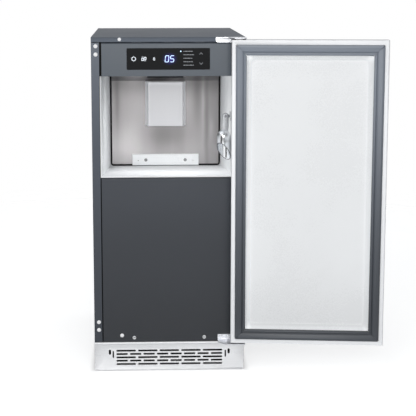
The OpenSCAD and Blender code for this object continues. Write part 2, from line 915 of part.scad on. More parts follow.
module bottom_hinge_bracket() {
    high = panel_low + 17.2;
    clear_z = door_low - 1;
    color(steel) {
        translate([0, 0, low_plate_z]) linear_extrude(3) polygon([
            [low_plate_x, front_y], [half_w, front_y], [half_w, plate_front],
            [low_plate_x + 22, plate_front], [low_plate_x, plate_front + 26]]);
        box([low_plate_x, front_y - leaf_t, low_plate_z], [leaf_end, front_y, high]);
        box([leaf_end, front_y - leaf_t, low_plate_z], [half_w - 2, front_y, clear_z]);
        rod_z(pivot_x, pivot_y, pin_r, low_plate_z + 2, door_low + 18);
    }
}

leaf_screw_x = top_plate_x + 10;

module hinge_screws() {
    color("silver") {
        for (x = [leaf_screw_x, leaf_end - 9])
            slotted_screw_short(x, front_y - leaf_t, body_h - 7.5);
        for (x = [leaf_end - 28, leaf_end - 10])
            slotted_screw_short(x, front_y - leaf_t, low_plate_z + 10);
    }
}

module slotted_screw_short(x, y, z) {
    translate([x, y, z]) rotate([-90, 0, 0]) difference() {
        translate([0, 0, -1.6]) cylinder(r1 = 2.8, r2 = 3.6, h = 1.6);
        translate([-5, -0.4, -2.6]) cube([10, 0.8, 1.8]);
    }
}

// The upper bush, let into the top of the door; the lower one mirrors it
module hinge_bush() {
    translate([pivot_x, pivot_y, 0]) difference() {
        union() {
            translate([0, 0, -bush_l]) cylinder(r = bush_r, h = bush_l);
            cylinder(r = bush_r + 2, h = bush_flange);
        }
        translate([0, 0, -bush_l + 2]) cylinder(r = pin_r + run_gap, h = bush_l + bush_flange);
    }
}

// Door

module swung() {
    translate([pivot_x, pivot_y, 0]) rotate([0, 0, door_angle])
        translate([-pivot_x, -pivot_y, 0]) children();
}

module bush_holes() {
    for (z = [door_low, door_high])
        rod_z(pivot_x, pivot_y, bush_r, z - bush_l, z + bush_l);
}

module door_skin() {
    corner = 3;
    color(steel) swung() difference() {
        translate([0, (door_in + door_out) / 2, door_low])
            linear_extrude(door_high - door_low) rounded_rect(body_w, door_t, corner);
        box([-half_w + skin_t, door_out + skin_t, door_low + skin_t],
            [half_w - skin_t, door_in - skin_t, door_high - skin_t]);
        box([-half_w + skin_lip, door_in - 5, door_low + skin_lip],
            [half_w - skin_lip, door_in + cut, door_high - skin_lip]);
        bush_holes();
    }
}

// The recess of the inner panel with drafted walls, grown by g
module pocket(g) {
    hw = half_w - pocket_in + g;
    hh = (door_high - door_low) / 2 - pocket_in + g;
    deep = liner_recess + g;
    intersection() {
        translate([0, 0, door_low]) linear_extrude(door_high - door_low) polygon([
            [-hw, door_in + cut], [-hw, door_in], [-hw + pocket_draft, door_in - deep],
            [hw - pocket_draft, door_in - deep], [hw, door_in], [hw, door_in + cut]]);
        along_x(-half_w, half_w) translate([0, door_mid]) polygon([
            [door_in + cut, -hh], [door_in, -hh], [door_in - deep, -hh + pocket_draft],
            [door_in - deep, hh - pocket_draft], [door_in, hh], [door_in + cut, hh]]);
    }
}

module liner_body() {
    box([-half_w + skin_lip, door_in - liner_t, door_low + skin_lip],
        [half_w - skin_lip, door_in, door_high - skin_lip]);
    intersection() {
        pocket(liner_t);
        box([-half_w, door_out, door_low], [half_w, door_in, door_high]);
    }
}

module door_liner() {
    color(white) swung() difference() {
        liner_body();
        pocket(0);
    }
}

module door_foam() {
    color(foam_cream) swung() difference() {
        box([-half_w + skin_t, door_out + skin_t, door_low + skin_t],
            [half_w - skin_t, door_in - skin_t, door_high - skin_t]);
        liner_body();
        bush_holes();
    }
}

// Gasket profile of [across, height] points: a broad sealing bead, a groove and a narrow bead
broad_bead = gasket_w * 0.66;
groove_w = 1.6;
base_h = 2.2;

function bead(u0, u1, h0, h1, n) = [for (i = [0:n])
    let (t = i / n) [u0 + (u1 - u0) * t, h0 + (h1 - h0) * pow(sin(180 * t), 0.62)]];

gasket_profile = concat(
    [[0, 0]],
    bead(0.4, broad_bead, base_h, gasket_h, 10),
    bead(broad_bead + groove_w, gasket_w - 0.4, base_h, gasket_h - 2, 6),
    [[gasket_w, 0]]);
magnet_w = 9;
magnet_t = 2.2;
magnet_u = broad_bead / 2;
magnet_h = 2.6;
mitre_gap = 0.15;

// One straight side of a frame around the door, cut at 45 degrees at both ends.
// The child is drawn in [across, height] and laid along the frame's side.
module mitred_side(length) {
    half = length / 2 - mitre_gap;
    reach = gasket_w + 5;
    intersection() {
        translate([-length / 2, 0, 0]) rotate([90, 0, 90]) linear_extrude(length)
            mirror([1, 0]) children();
        translate([0, 0, -20]) linear_extrude(60) polygon([
            [-half, 0], [half, 0], [half - reach, -reach], [-half + reach, -reach]]);
    }
}

module gasket_frame() {
    w = body_w - 2 * gasket_in;
    h = door_high - door_low - 2 * gasket_in;
    translate([0, door_in, door_mid]) rotate([-90, 0, 0]) {
        for (s = [0, 180]) {
            rotate(s) translate([0, h / 2, 0]) mitred_side(w) children();
            rotate(s + 90) translate([0, w / 2, 0]) mitred_side(h) children();
        }
    }
}

module magnet_outline(in) {
    translate([magnet_u - magnet_w / 2 + in, magnet_h + in])
        square([magnet_w - 2 * in, magnet_t - 2 * in]);
}

module door_gasket() {
    color(rubber_grey) swung() gasket_frame() difference() {
        polygon(gasket_profile);
        magnet_outline(0);
    }
}

module gasket_magnets() {
    color("dimgrey") swung() gasket_frame() magnet_outline(0.1);
}

module hinge_bushes() {
    color("white") swung() {
        translate([0, 0, door_high]) hinge_bush();
        translate([0, 0, door_low]) mirror([0, 0, 1]) hinge_bush();
    }
}

handle_x = -half_w + handle_in;
handle_y = door_out - handle_out;
handle_z = door_mid + 60;
post_in = 40;

module handle_bar() {
    color(steel) swung() {
        rod_z(handle_x, handle_y, handle_d / 2, handle_z - handle_l / 2, handle_z + handle_l / 2);
    }
}

module handle_posts() {
    color(steel) swung() difference() {
        for (s = [-1, 1])
            rod_y(handle_x, handle_z + s * (handle_l / 2 - post_in), 6, handle_y, door_out);
        rod_z(handle_x, handle_y, handle_d / 2, handle_z - handle_l / 2 - cut,
              handle_z + handle_l / 2 + cut);
    }
}

// Refrigeration

ear_x = 62;
ear_y = 44;
mount_r = 11;
comp_shell_z = comp_base + 3;
stub_z = comp_shell_z + comp_h;
suction_x = comp_x - 5;
suction_y = comp_y + 20;
discharge_x = comp_x + 30;
discharge_z = comp_base + 60;

module compressor() {
    r = comp_d / 2;
    h = comp_h;
    color([0.12, 0.12, 0.13]) {
        difference() {
            translate([comp_x, comp_y, comp_base]) {
                linear_extrude(3) rounded_rect(2 * ear_x + 28, 2 * ear_y + 28, 14);
                translate([0, 0, 3]) rotate_extrude() polygon(concat(
                    [[0, 0], [r - 16, 0]], arc([r - 16, 16], 16, -90, 0, 5),
                    [[r, h * 0.5], [r + 3, h * 0.5], [r + 3, h * 0.5 + 6], [r, h * 0.5 + 6]],
                    arc([r - 34, h - 34], 34, 0, 90, 6), [[0, h]]));
            }
            for (x = [-1, 1], y = [-1, 1])
                rod_z(comp_x + x * ear_x, comp_y + y * ear_y, 4, comp_base - cut, comp_base + 4);
        }
        rod_z(suction_x, suction_y, 5, stub_z - 0.5, stub_z + 12);
        rod_y(discharge_x, discharge_z, 5, comp_y - r - 8, comp_y - r + 12);
        box([comp_x - r - 14, comp_y - 24, comp_base + 50],
            [comp_x - r + 4, comp_y + 24, comp_base + 96]);
    }
}

module compressor_mounts() {
    color("dimgrey") for (x = [-1, 1], y = [-1, 1])
        translate([comp_x + x * ear_x, comp_y + y * ear_y, pan_top]) rotate_extrude() polygon([
            [0, 0], [mount_r, 0], [mount_r, 5], [mount_r - 3, 7], [mount_r - 3, 9],
            [mount_r, 11], [mount_r, 16], [0, 16]]);
}

fin_count = 22;
tube_rows = 6;

module condenser() {
    x0 = fan_x - cond_w / 2;
    plate = 2;
    pitch = (cond_w - plate) / (fin_count - 1);
    row = (cond_h - 40) / (tube_rows - 1);
    color("silver") union() {
        for (i = [0:fin_count - 1])
            box([x0 + i * pitch, cond_y, i == 0 || i == fin_count - 1 ? pan_top : pan_top + 12],
                [x0 + i * pitch + plate, cond_y + cond_t, pan_top + cond_h]);
        for (k = [0:tube_rows - 1])
            translate([x0 - 8, cond_y + cond_t / 2, pan_top + 24 + k * row])
                rotate([0, 90, 0]) cylinder(r = 4, h = cond_w + 16);
    }
}

module fan_shroud() {
    hw = cond_w / 2;
    color("dimgrey") difference() {
        union() {
            box([fan_x - hw, shroud_y, pan_top], [fan_x + hw, shroud_y + 2, pan_top + cond_h]);
            rod_y(fan_x, fan_z, fan_d / 2 + fan_gap + 2, shroud_y, shroud_y + shroud_ring);
        }
        rod_y(fan_x, fan_z, fan_d / 2 + fan_gap, shroud_y - cut, shroud_y + shroud_ring + cut);
    }
}

fan_shaft_r = 4;
arm_r = fan_d / 2 + fan_gap + 6;

module fan_motor() {
    color([0.2, 0.2, 0.22]) difference() {
        union() {
            rod_y(fan_x, fan_z, motor_r, motor_y, motor_y + motor_l);
            for (a = [45, 135, 225, 315]) {
                rod_y(fan_x + arm_r * cos(a), fan_z + arm_r * sin(a), 4, shroud_y + 2, motor_y + 8);
                translate([fan_x, motor_y + 2, fan_z]) rotate([0, -a, 0])
                    translate([motor_r - 3, 0, -4]) cube([arm_r - motor_r + 3, 4, 8]);
            }
        }
        rod_y(fan_x, fan_z, fan_shaft_r + run_gap, motor_y - cut, motor_y + 22);
    }
}

module filter_drier() {
    color(copper) translate([drier_x, drier_y, drier_z]) rotate_extrude() polygon([
        [0, 0], [line_r + 1, 0], [line_r + 1, 8], [13, 18], [13, drier_l - 18],
        [line_r + 1, drier_l - 8], [line_r + 1, drier_l], [0, drier_l]]);
}

cond_end_x = fan_x + cond_w / 2 + 8;
cond_pipe_y = cond_y + cond_t / 2;
cond_high_z = pan_top + 24 + (cond_h - 40);
cond_low_z = pan_top + 24;
coil_pitch = 14;
coil_turns = 8;
coil_r = barrel_r + line_r + 0.8;
coil_low = barrel_low + 22;
liquid_x = reservoir_x - 3;
liquid_y = barrel_y - coil_r - 2 * line_r - 0.3;
liquid_z = barrel_low + 38;

module refrigerant_lines() {
    bend = 10;
    hot_x = cond_end_x + 18;
    discharge_y = comp_y - comp_d / 2 - 8;
    high = coil_low + coil_pitch * coil_turns - 6;
    color(copper) {
        pipe([[discharge_x, discharge_y, discharge_z], [discharge_x, discharge_y - 40, discharge_z],
              [hot_x, discharge_y - 40, discharge_z], [hot_x, cond_pipe_y, discharge_z],
              [hot_x, cond_pipe_y, cond_high_z], [cond_end_x, cond_pipe_y, cond_high_z]],
             line_r, bend);
        pipe([[cond_end_x, cond_pipe_y, cond_low_z], [drier_x, cond_pipe_y, cond_low_z],
              [drier_x, drier_y, cond_low_z], [drier_x, drier_y, drier_z]], line_r, bend);
        pipe([[drier_x, drier_y, drier_z + drier_l], [drier_x, drier_y, foam_low - 16],
              [drier_x, liquid_y, foam_low - 16], [liquid_x - 4, liquid_y, foam_low - 16],
              [liquid_x - 4, liquid_y, liquid_z], [0, liquid_y, liquid_z]],
             line_r, 8);
        pipe([[-coil_r - line_r - 0.3, barrel_y, high], [suction_x, barrel_y, high],
              [suction_x, barrel_y, stub_z + 40], [suction_x, suction_y, stub_z + 40],
              [suction_x, suction_y, stub_z + 12]], line_r, bend);
    }
}

// Ice making

module freezing_barrel() {
    color(steel) difference() {
        union() {
            rod_z(0, barrel_y, barrel_r, barrel_low, barrel_top);
            rod_z(0, barrel_y, head_r, barrel_low, barrel_low + 6);
            rod_z(0, barrel_y, head_r, barrel_top - 6, barrel_top);
        }
        rod_z(0, barrel_y, barrel_bore / 2, barrel_low + 8, barrel_top + cut);
        rod_z(0, barrel_y, shaft_r + run_gap, barrel_low - cut, barrel_low + 9);
    }
}

module evaporator_coil() {
    steps = 16;
    sides = 6;
    color(copper) translate([0, barrel_y, coil_low]) skin([for (i = [0:steps * coil_turns])
        let (a = -90 + 360 * i / steps, z = coil_pitch * i / steps)
        [for (j = [0:sides - 1]) let (b = 360 * j / sides, r = coil_r + line_r * cos(b))
            [r * cos(a), r * sin(a), z + line_r * sin(b)]]]);
}

die_holes = 8;

module extruder_head() {
    hole_pcd = shaft_r + barrel_bore / 2;
    wall = 3;
    color([0.75, 0.76, 0.78]) difference() {
        union() {
            rod_z(0, barrel_y, head_r, barrel_top, head_low);
            rod_z(0, barrel_y, head_r, head_low, head_high);
        }
        rod_z(0, barrel_y, shaft_r + run_gap, barrel_top - cut, head_low + cut);
        for (i = [0:die_holes - 1])
            translate([0, barrel_y, 0]) rotate([0, 0, 360 / die_holes * (i + 0.5)])
                rod_z(hole_pcd / 2, 0, 4.4, barrel_top - cut, head_low + cut);
        rod_z(0, barrel_y, head_r - wall, head_low, head_high - wall);
        box([-duct_w / 2 + 14, barrel_y - head_r - cut, duct_low + duct_t],
            [duct_w / 2 - 14, barrel_y, duct_high - duct_t]);
    }
}

module auger_gearmotor() {
    color([0.35, 0.36, 0.38]) difference() {
        union() {
            translate([0, barrel_y, gearbox_low]) linear_extrude(gearbox_h)
                rounded_rect(gearbox_w, gearbox_d, gearbox_w / 12);
            rod_z(0, barrel_y, drive_motor_r, gearbox_low - drive_motor_l, gearbox_low);
        }
        rod_z(0, barrel_y, shaft_r + run_gap, gearbox_low + gearbox_h / 2, bracket_z + cut);
    }
}

module drive_bracket() {
    color("silver") difference() {
        union() {
            box([-gearbox_w / 2, barrel_y - gearbox_d / 2, bracket_z],
                [gearbox_w / 2, back_y - sheet_t, barrel_low]);
            box([-gearbox_w / 2, back_y - sheet_t - bracket_t, bracket_z - gearbox_w / 2],
                [gearbox_w / 2, back_y - sheet_t, barrel_low]);
        }
        rod_z(0, barrel_y, shaft_r + 1, bracket_z - cut, barrel_low + cut);
    }
}

auger_low = gearbox_low + gearbox_h / 2 + 5;
flight_low = barrel_low + 14;
flight_high = barrel_top - 10;

module auger() {
    outer = barrel_bore / 2 - auger_gap;
    steps = 20;
    count = floor(auger_turns * steps);
    rise = (flight_high - flight_low) / count;
    root = 4;
    crest = 1.6;
    color(steel) translate([0, barrel_y, 0]) {
        cylinder_between(shaft_r, auger_low, barrel_low + 10);
        cylinder_between(auger_core_r, barrel_low + 10, barrel_top - 4);
        cylinder_between(shaft_r, barrel_top - 4, head_low + 18);
        translate([0, 0, head_low + 18]) cylinder(r1 = shaft_r, r2 = 3, h = 8);
        skin([for (i = [0:count]) let (a = 360 * i / steps, z = flight_low + rise * i)
            [for (p = [[auger_core_r - 1, root], [auger_core_r - 1, -root],
                       [outer, -crest], [outer, crest]])
                [p[0] * cos(a), p[0] * sin(a), z + p[1]]]]);
    }
}

module cylinder_between(r, z0, z1) {
    translate([0, 0, z0]) cylinder(r = r, h = z1 - z0);
}

module condenser_fan() {
    blades = 5;
    hub_r = 22;
    tip = fan_d / 2;
    sweep = 50;
    outline = concat(arc([0, 0], hub_r - 2, 0, sweep * 0.9, 4), arc([0, 0], tip, sweep, 6, 8));
    color([0.15, 0.15, 0.16]) translate([fan_x, fan_y, fan_z]) rotate([-90, 0, 0]) {
        translate([0, 0, 1]) cylinder(r = hub_r, h = fan_blade_d - 2);
        translate([0, 0, fan_blade_d - 2])
            cylinder(r = fan_shaft_r, h = motor_y - fan_y - fan_blade_d + 22);
        for (i = [0:blades - 1]) rotate(i * 360 / blades) intersection() {
            cylinder(r = tip, h = fan_blade_d);
            rotate(sweep / 2) translate([0, 0, fan_blade_d / 2]) rotate([22, 0, 0])
                translate([0, 0, -0.9]) linear_extrude(1.8) rotate(-sweep / 2) polygon(outline);
        }
    }
}

// Water

float_y = reservoir_y + reservoir_d / 2;
float_pivot_z = reservoir_z + reservoir_h - 22;
float_w = reservoir_w - 2 * reservoir_t - 12;

module water_reservoir() {
    x1 = reservoir_x + reservoir_w;
    y1 = reservoir_y + reservoir_d;
    z1 = reservoir_z + reservoir_h;
    t = reservoir_t;
    color([0.85, 0.9, 0.93]) {
        difference() {
            union() {
                box([reservoir_x, reservoir_y, reservoir_z], [x1, y1, z1]);
                box([x1 - t, reservoir_y + 10, z1 - 60], [inner_w, y1 - 10, z1 - 52]);
            }
            box([reservoir_x + t, reservoir_y + t, reservoir_z + t], [x1 - t, y1 - t, z1 - t]);
        }
        for (s = [-1, 1])
            box([reservoir_x + t, float_y + s * 7 - 1.5, float_pivot_z - 6],
                [reservoir_x + t + 12, float_y + s * 7 + 1.5, z1 - t]);
        rod_y(reservoir_x + t + 7, float_pivot_z, 1.5, float_y - 8, float_y + 8);
    }
}

module float_arm() {
    px = reservoir_x + reservoir_t + 7;
    color("orange") {
        difference() {
            union() {
                rod_y(px, float_pivot_z, 4, float_y - 5, float_y + 5);
                box([px, float_y - 3, float_pivot_z - 2], [px + 26, float_y + 3, float_pivot_z + 2]);
                box([px + 16, float_y - 16, float_pivot_z - 26],
                    [px + 16 + min(44, float_w - 22), float_y + 16, float_pivot_z - 2]);
            }
            rod_y(px, float_pivot_z, 1.5 + run_gap, float_y - 6, float_y + 6);
        }
    }
}

module water_inlet_valve() {
    color([0.92, 0.92, 0.9]) {
        rod_y(inlet_x, inlet_z, inlet_r + 3.5, back_y, back_y + 4);
        rod_y(inlet_x, inlet_z, inlet_r, back_y + 4, back_y + 4 + inlet_l);
        rod_y(inlet_x, inlet_z, inlet_r - 1, valve_y + 20, back_y);
        box([inlet_x - valve_hw, valve_y, inlet_z - valve_hw + 2],
            [inlet_x + valve_hw, valve_y + 30, inlet_z + valve_hw - 2]);
        rod_z(inlet_x, valve_y + 12, 8, inlet_z + valve_hw - 2, inlet_z + valve_hw + 16);
        rod_z(inlet_x, valve_y + 12, valve_hw - 1, inlet_z - valve_hw - 38, inlet_z - valve_hw + 2);
    }
}

module water_hoses() {
    color([0.9, 0.92, 0.94]) {
        rod_z(inlet_x, valve_y + 12, 5, inlet_z + valve_hw + 16, reservoir_z);
        difference() {
            translate([0, barrel_y, feed_z]) rotate([0, 90, 0]) cylinder(r = 4, h = reservoir_x);
            rod_z(0, barrel_y, barrel_r, feed_z - 10, feed_z + 10);
        }
    }
}

module cord_gland() {
    neck = gland_r + 3.5;
    color(black) difference() {
        union() {
            rod_y(gland_x, gland_z, neck, back_y - 12, back_y + 16);
            rod_y(gland_x, gland_z, 13, back_y, back_y + 8);
            rod_y(gland_x, gland_z, 12, back_y - 8, back_y - sheet_t);
        }
        rod_y(gland_x, gland_z, gland_r, back_y - 13, back_y + 17);
    }
}

// Scoop

peg_z = scoop_top - 9;
wall_x = bin_hw - bin_taper * (scoop_depth + 10) / bin_depth;

module scoop_hook() {
    y0 = scoop_y + grip_t / 2 + 5;
    color(steel) {
        box([scoop_x - 4, y0, peg_z - 4], [wall_x - 1.4, y0 + 3, peg_z + 4]);
        box([wall_x - 3, y0, peg_z - 12], [wall_x - 0.6, y0 + 16, peg_z + 12]);
        rod_y(scoop_x, peg_z, peg_r, y0 - peg_l, y0 + 1);
    }
}

// The bowl as a solid of revolution, made smaller by t, standing on its open end
module bowl_form(t) {
    r = scoop_d / 2;
    shoulder = 20;
    rotate_extrude() polygon(concat(
        [[0, -t], [r - t, -t], [r - t, scoop_l - shoulder]],
        arc([r - shoulder, scoop_l - shoulder], shoulder - t, 0, 48, 6),
        [[0, scoop_l - t]]));
}

// The slanted mouth, cut away below a line that rises across the bowl
module scoop_mouth() {
    side = scoop_d / 2 + 4;
    slope = mouth_rise / scoop_d;
    along_y(-scoop_d, scoop_d) polygon([
        [side, (scoop_d / 2 - side) * slope], [-side, (scoop_d / 2 + side) * slope],
        [-side, -30], [side, -30]]);
}

module scoop() {
    bowl_top = scoop_top - scoop_grip;
    bowl_place = [scoop_x - 4.5, scoop_y + 2, bowl_top - scoop_l];
    color(steel) difference() {
        union() {
            translate(bowl_place) bowl_form(0);
            along_y(scoop_y - grip_t / 2, scoop_y + grip_t / 2) {
                translate([scoop_x - grip_w / 2, bowl_top - 9])
                    square([grip_w, scoop_grip + 9 - grip_w / 2]);
                translate([scoop_x, scoop_top - grip_w / 2]) circle(d = grip_w);
            }
        }
        translate(bowl_place) bowl_form(scoop_t);
        translate(bowl_place) rotate([0, 0, scoop_turn]) scoop_mouth();
        rod_y(scoop_x, peg_z, peg_r + peg_gap, scoop_y - 10, scoop_y + 10);
    }
}

// Feet

module foot(x, y) {
    r = foot_d / 2;
    color("dimgrey") translate([x, y, 0]) {
        rotate_extrude() polygon([
            [0, 0], [r, 0], [r, 4], [r - 3, 7], [stem_d / 2 + 3, 10],
            [stem_d / 2 + 3, pan_z - 1], [0, pan_z - 1]]);
        translate([0, 0, pan_z - 1]) cylinder(d = stem_d, h = 42);
    }
}

module foot_front_left() { foot(-stem_x, -stem_y); }
module foot_front_right() { foot(stem_x, -stem_y); }
module foot_rear_left() { foot(-stem_x, stem_y); }
module foot_rear_right() { foot(stem_x, stem_y); }

base_pan();
left_side_panel();
right_side_panel();
top_panel();
back_panel();
lower_front_panel();
kick_plate();
control_fascia();
display_window();
control_board();
electronics_box();
bin_liner();
bin_back_sheet();
bin_seal_trim();
bin_insulation();
ice_level_sensor();
ice_chute_cover();
ice_chute();
drain_cover();
bin_drain_pipe();
drain_spigot();
scoop_hook();
hinge_hole_plugs();
panel_screws();
top_hinge_bracket();
bottom_hinge_bracket();
hinge_screws();
compressor();
compressor_mounts();
condenser();
fan_shroud();
fan_motor();
filter_drier();
refrigerant_lines();
freezing_barrel();
evaporator_coil();
extruder_head();
auger_gearmotor();
drive_bracket();
water_reservoir();
water_inlet_valve();
water_hoses();
cord_gland();
door_skin();
door_foam();
door_liner();
door_gasket();
gasket_magnets();
hinge_bushes();
handle_bar();
handle_posts();
auger();
condenser_fan();
scoop();
float_arm();
foot_front_left();
foot_front_right();
foot_rear_left();
foot_rear_right();
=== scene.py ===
# Looks for the fifteen inch undercounter nugget ice maker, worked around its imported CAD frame.
# Sizes in the dictionaries are millimetres in the CAD's own frame; meshes are stored in metres.
# Finishes, the stage and the lamps are in metres throughout.
import json
import math

import bmesh
import bpy
import numpy as np
from mathutils import Matrix, Vector


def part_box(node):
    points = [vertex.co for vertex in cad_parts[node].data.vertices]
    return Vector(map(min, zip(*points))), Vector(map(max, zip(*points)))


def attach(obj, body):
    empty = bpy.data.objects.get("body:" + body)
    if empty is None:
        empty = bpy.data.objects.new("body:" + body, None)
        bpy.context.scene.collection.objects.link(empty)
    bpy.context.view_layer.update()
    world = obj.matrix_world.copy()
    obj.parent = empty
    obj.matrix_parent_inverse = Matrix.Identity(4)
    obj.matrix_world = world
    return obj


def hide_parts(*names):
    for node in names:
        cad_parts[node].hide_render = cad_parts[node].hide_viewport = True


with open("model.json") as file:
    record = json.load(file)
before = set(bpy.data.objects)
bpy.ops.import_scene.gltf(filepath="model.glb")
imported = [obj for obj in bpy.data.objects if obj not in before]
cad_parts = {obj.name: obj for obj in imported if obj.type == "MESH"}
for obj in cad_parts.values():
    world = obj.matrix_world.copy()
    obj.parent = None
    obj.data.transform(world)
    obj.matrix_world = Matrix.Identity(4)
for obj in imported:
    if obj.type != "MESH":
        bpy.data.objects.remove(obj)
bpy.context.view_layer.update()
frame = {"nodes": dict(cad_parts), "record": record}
cadNodes = frame["nodes"]


def linkObject(name, data):
    thing = bpy.data.objects.new(name, data)
    bpy.context.scene.collection.objects.link(thing)
    return thing


# camera: the photograph's viewing angle, a long lens a little above the cabinet's top
photoView = {"place": (-0.066, -3.389, 0.991), "yaw": 0.036, "pitch": -0.165, "roll": 0.001,
             "lens": 109.2, "sensor": 36, "shift": (0.05, -0.05), "clip": (0.05, 50)}


def makeCamera(v):
    data = bpy.data.cameras.new("photoCamera")
    data.lens, data.sensor_width = v["lens"], v["sensor"]
    data.shift_x, data.shift_y = v["shift"]
    data.clip_start, data.clip_end = v["clip"]
    camera = linkObject("photoCamera", data)
    camera.location = v["place"]
    camera.rotation_euler = (Matrix.Rotation(-v["yaw"], 3, "Z")
                             @ Matrix.Rotation(math.pi / 2 + v["pitch"], 3, "X")
                             @ Matrix.Rotation(-v["roll"], 3, "Z")).to_euler()
    bpy.context.scene.camera = camera


makeCamera(photoView)
print("camera placed")


# colour and node helpers
# sRGB in 0-255 to scene linear: c/12.92 below 0.04045, else ((c + 0.055) / 1.055) ** 2.4.
def linear(colour):
    c = np.array(colour, float) / 255.0
    return tuple(np.where(c <= 0.04045, c / 12.92, ((c + 0.055) / 1.055) ** 2.4)) + (1.0,)


def newMaterial(name):
    material = bpy.data.materials.new(name)
    material.use_nodes = True
    tree = material.node_tree
    return material, tree, tree.nodes["Principled BSDF"]


# A group takes a place and a colour and gives a colour. More inputs are (label, kind, value) and
# more outputs (label, kind). Returns the group, the sockets it takes from and those it gives to.
def newGroup(name, inputs, outputs=()):
    group = bpy.data.node_groups.new(name, "ShaderNodeTree")
    usual = [("Vector", "Vector", None), ("Colour", "Color", (0.5, 0.5, 0.5, 1))]
    for label, kind, value in usual + inputs:
        socket = group.interface.new_socket(label, in_out="INPUT", socket_type="NodeSocket" + kind)
        if value is not None:
            socket.default_value = value
    for label, kind in (("Colour", "Color"), *outputs):
        group.interface.new_socket(label, in_out="OUTPUT", socket_type="NodeSocket" + kind)
    return (group, group.nodes.new("NodeGroupInput").outputs,
            group.nodes.new("NodeGroupOutput").inputs)


# Adds a node; links are (input, source socket) or (input, plain value) pairs.
def addNode(tree, kind, links=(), **settings):
    node = tree.nodes.new("ShaderNode" + kind)
    for key, value in settings.items():
        setattr(node, key, value)
    for socket, source in links:
        if isinstance(source, bpy.types.NodeSocket):
            tree.links.new(source, node.inputs[socket])
        else:
            node.inputs[socket].default_value = source
    return node


# Maths along a chain: the first value with the second, the result with the third.
def addMath(tree, operation, first, *others):
    for other in others or (0.0,):
        first = addNode(tree, "Math", [(0, first), (1, other)], operation=operation).outputs[0]
    return first


def addNoise(tree, place, scale, detail, rough=0.5):
    links = [("Vector", place), ("Scale", scale), ("Detail", detail), ("Roughness", rough)]
    return addNode(tree, "TexNoise", links).outputs[0]


# Vector maths: SCALE takes a number second, LENGTH and DOT_PRODUCT give a number.
def addVector(tree, operation, first, second=(0, 0, 0)):
    links = [(0, first), ("Scale" if operation == "SCALE" else 1, second)]
    node = addNode(tree, "VectorMath", links, operation=operation)
    return node.outputs["Value" if operation in ("LENGTH", "DOT_PRODUCT") else "Vector"]


# One plus a value times an amount.
def addGain(tree, value, amount):
    return addMath(tree, "ADD", addMath(tree, "MULTIPLY", value, amount), 1.0)


# Gives out the group's own colour times a gain.
def giveColour(group, take, give, gain):
    group.links.new(addVector(group, "SCALE", take["Colour"], gain), give["Colour"])


# by a finish's key, the inputs of the grain with their usual values and those of the shader
grainInputs = {
    "stretch": ("Stretch", "Vector", (1, 1, 1)), "scale": ("Scale", "Float", 900.0),
    "spread": ("Spread", "Float", 0.06), "rough": ("Roughness", "Float", 0.4),
    "roughSpread": ("RoughSpread", "Float", 0.1), "height": ("Height", "Float", 2e-5),
    "bandScale": ("BandScale", "Float", 7.0), "bands": ("Bands", "Float", 0.04),
}
shaderInputs = {"metallic": "Metallic", "specular": "Specular IOR Level",
                "clear": "Transmission Weight"}


# Stretched noise turned into a colour change, a roughness change and a fine bump.
def makeGrainGroup():
    group, take, give = newGroup("grain", list(grainInputs.values()),
                                 [("Roughness", "Float"), ("Normal", "Vector")])
    mapped = addNode(group, "Mapping", [("Vector", take["Vector"]),
                                        ("Scale", take["Stretch"])]).outputs[0]
    fine = addNoise(group, mapped, take["Scale"], 5.0, 0.6)
    broad = addNoise(group, mapped, take["BandScale"], 2.0)
    ripple, cloud = (addMath(group, "SUBTRACT", noise, 0.5) for noise in (fine, broad))
    giveColour(group, take, give,
               addMath(group, "ADD", addMath(group, "MULTIPLY", ripple, take["Spread"]),
                       addMath(group, "MULTIPLY", cloud, take["Bands"]), 1.0))
    rougher = addMath(group, "MULTIPLY", addMath(group, "ADD", ripple, cloud),
                      take["RoughSpread"])
    group.links.new(addMath(group, "ADD", take["Roughness"], rougher), give["Roughness"])
    bump = addNode(group, "Bump", [("Height", fine), ("Distance", take["Height"])])
    group.links.new(bump.outputs[0], give["Normal"])
    return group


# Dust that settles where the surface faces up, broken up by noise.
def makeDustGroup():
    group, take, give = newGroup("settledDust", [("Dust", "Color", (0.6, 0.58, 0.55, 1)),
                                                 ("Amount", "Float", 0.1)])
    facing = addNode(group, "SeparateXYZ", [(0, addNode(group, "NewGeometry").outputs["Normal"])])
    up = addMath(group, "MAXIMUM", facing.outputs["Z"], 0.0)
    noise = addNoise(group, take["Vector"], 60.0, 6.0)
    amount = addMath(group, "MULTIPLY", up, noise, take["Amount"])
    mix = addNode(group, "Mix", [("Factor", amount), (6, take["Colour"]), (7, take["Dust"])],
                  data_type="RGBA")
    group.links.new(mix.outputs[2], give["Colour"])
    return group


# The frost-like patches of zinc coating: cells of slightly different brightness.
def makeSpangleGroup():
    group, take, give = newGroup("zincSpangle", [
        ("Scale", "Float", 90.0), ("Spread", "Float", 0.35), ("Roughness", "Float", 0.4),
        ("RoughSpread", "Float", 0.15)], [("Roughness", "Float")])
    cells = addNode(group, "TexVoronoi", [("Vector", take["Vector"]), ("Scale", take["Scale"])])
    value = addNode(group, "SeparateColor", [(0, cells.outputs["Color"])]).outputs[0]
    change = addMath(group, "SUBTRACT", value, 0.5)
    giveColour(group, take, give, addGain(group, change, take["Spread"]))
    rougher = addMath(group, "MULTIPLY", change, take["RoughSpread"])
    group.links.new(addMath(group, "ADD", rougher, take["Roughness"]), give["Roughness"])
    return group


